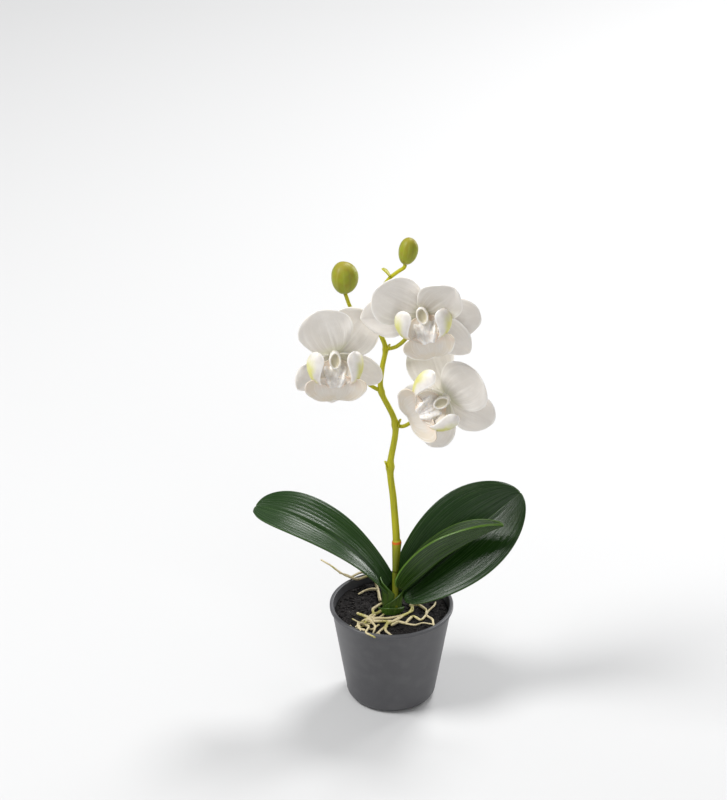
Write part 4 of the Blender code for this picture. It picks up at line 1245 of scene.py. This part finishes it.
class ORCHID_OT_columns(OrchidPiece, bpy.types.Operator):
    """Form each flower's hooded column with its hollow"""
    bl_idname = "orchid.columns"
    bl_label = "Columns"

    def execute(self, context):
        finish = column_finish(self.paints)
        for flower in FLOWERS:
            centre = flower_frame(flower) @ Matrix.Translation((0, flower.lip_rise, 0))
            bm = new_mesh()
            growth = bm.verts.layers.float_vector["growth"]
            path = smooth_route([centre @ mm(0, y, z) for y, z in HOOD_ROUTE], 0.4 * MM)
            radii = [hood_radius(i / (len(path) - 1)) for i in range(len(path))]
            across = centre.to_3x3() @ Vector((1, 0, 0))
            edges = sweep(bm, path, radii, 36, flatten=HOOD_FLATTEN, side=across)
            bmesh.ops.recalc_face_normals(bm, faces=bm.faces)
            mouth = [face for face in edges[0].link_faces if len(face.verts) > 4]
            for thickness, depth, hollow in HOOD_STEPS:
                bmesh.ops.inset_region(bm, faces=mouth, thickness=thickness * MM, depth=depth * MM)
                for vert in {vert for face in mouth for vert in face.verts}:
                    vert[growth] = (hollow, 0, 0)
            finish_piece(bm, flower.name + "_hood", finish, [flower.name + "_column"])
        return {"FINISHED"}


class ORCHID_OT_roots(OrchidPiece, bpy.types.Operator):
    """Lay the aerial roots over the peat"""
    bl_idname = "orchid.roots"
    bl_label = "Aerial roots"

    def execute(self, context):
        finish = root_finish(self.paints)
        noise.seed_set(NOISE_SEED)
        sizes = self.sizes
        for node, groups in ROOT_BUNCHES.items():
            routes = [(route, share) for share, group in groups for route in group]
            bm = new_mesh()
            for number, (route, share) in enumerate(routes):
                flat = smooth_route([mm(x, y, 0) for x, y in route], 5 * MM)
                crosses = flat[-1].length > pot_inner_radius(POT_HEIGHT) - 1 * MM
                places = []
                thick, thin = share * sizes.root_radius, share * sizes.root_tip_radius
                for step, (spot, radius) in enumerate(zip(flat, tapered(len(flat), thick, thin))):
                    wander = noise.noise_vector(Vector((number * 3.1, step * 0.9, 0))) * 0.9 * MM
                    x, y = spot.x + wander.x, spot.y + wander.y
                    ground = soil_height(x, y) + ROOT_CLEARANCE
                    if crosses:
                        climb = (math.hypot(x, y) - ROOT_CLIMB_START) / ROOT_CLIMB_WIDTH
                        ground += (POT_HEIGHT + 2 * GAP - ground) * min(1.0, max(0.0, climb))
                    places.append(Vector((x, y, ground + radius + abs(wander.z))))
                path = smooth_route(places, 0.9 * MM)
                radii = [radius * (1 + 0.22 * noise.noise(place / (2.2 * MM)))
                         for place, radius in zip(path, tapered(len(path), thick, thin))]
                sweep(bm, *rounded(path, radii), 12)
            bmesh.ops.recalc_face_normals(bm, faces=bm.faces)
            finish_piece(bm, node + "_strands", finish, [node])
        return {"FINISHED"}


class ORCHID_OT_stage(OrchidPiece, bpy.types.Operator):
    """Set up the floor, the soft lights and the camera"""
    bl_idname = "orchid.stage"
    bl_label = "Floor, light and camera"

    def execute(self, context):
        bm = bmesh.new()
        bmesh.ops.create_grid(bm, x_segments=4, y_segments=4, size=self.sizes.floor_size)
        mesh = bpy.data.meshes.new("floor")
        bm.to_mesh(mesh)
        bm.free()
        mesh.materials.append(floor_finish(self.paints).material)
        floor = bpy.data.objects.new("floor", mesh)
        context.scene.collection.objects.link(floor)
        world = bpy.data.worlds.new("soft sky")
        world.use_nodes = True
        sky = world.node_tree.nodes["Background"]
        sky.inputs["Color"].default_value = SKY_COLOUR
        sky.inputs["Strength"].default_value = SKY_STRENGTH
        context.scene.world = world
        context.scene.view_settings.view_transform = "Standard"
        for name, spot, aim_height, size, watts in LAMPS:
            lamp = bpy.data.lights.new(name, "AREA")
            lamp.shape = "DISK"
            lamp.size = size
            lamp.energy = watts
            holder = bpy.data.objects.new(name, lamp)
            holder.location = spot
            towards = Vector((0, 0, aim_height)) - Vector(spot)
            holder.rotation_euler = towards.to_track_quat("-Z", "Y").to_euler()
            context.scene.collection.objects.link(holder)
        lens = bpy.data.cameras.new("camera")
        lens.lens = CAMERA_LENS
        lens.sensor_fit = "VERTICAL"
        lens.sensor_height = CAMERA_SENSOR
        lens.clip_end = 20.0
        camera = bpy.data.objects.new("camera", lens)
        up = Vector((0, -CAMERA_AHEAD.z, CAMERA_AHEAD.y))
        aim = Matrix((Vector((1, 0, 0)), up, -CAMERA_AHEAD)).transposed().to_4x4()
        camera.matrix_world = Matrix.Translation(CAMERA_PLACE) @ aim
        context.scene.collection.objects.link(camera)
        context.scene.camera = camera
        return {"FINISHED"}


MAKERS = (ORCHID_OT_pot, ORCHID_OT_peat, ORCHID_OT_crown, ORCHID_OT_leaves, ORCHID_OT_spike, ORCHID_OT_buds,
          ORCHID_OT_petals, ORCHID_OT_lips, ORCHID_OT_columns, ORCHID_OT_roots, ORCHID_OT_stage)


class ORCHID_PT_panel(bpy.types.Panel):
    """Sidebar panel that lists the pieces of the plant, with their sizes and colours"""
    bl_idname = "ORCHID_PT_panel"
    bl_label = "Potted orchid"
    bl_space_type = "VIEW_3D"
    bl_region_type = "UI"
    bl_category = "Orchid"

    def draw(self, context):
        for maker in MAKERS:
            self.layout.operator(maker.bl_idname)
        for group in (context.scene.orchid_sizes, context.scene.orchid_colours):
            box = self.layout.box()
            for name in group.bl_rna.properties.keys():
                if name not in ("name", "rna_type"):
                    box.prop(group, name)


CLASSES = (OrchidSizes, OrchidColours, *MAKERS, ORCHID_PT_panel)


def register():
    """Add the add-on's classes and its settings to Blender."""
    for item in CLASSES:
        bpy.utils.register_class(item)
    bpy.types.Scene.orchid_sizes = PointerProperty(type=OrchidSizes)
    bpy.types.Scene.orchid_colours = PointerProperty(type=OrchidColours)


def unregister():
    """Take the add-on's classes and settings out of Blender."""
    del bpy.types.Scene.orchid_colours
    del bpy.types.Scene.orchid_sizes
    for item in reversed(CLASSES):
        bpy.utils.unregister_class(item)


def main():
    """Build every piece in order."""
    register()
    bpy.ops.orchid.pot()
    bpy.ops.orchid.peat()
    bpy.ops.orchid.crown()
    bpy.ops.orchid.leaves()
    bpy.ops.orchid.spike()
    bpy.ops.orchid.buds()
    bpy.ops.orchid.petals()
    bpy.ops.orchid.lips()
    bpy.ops.orchid.columns()
    bpy.ops.orchid.roots()
    bpy.ops.orchid.stage()


if __name__ == "__main__":
    main()
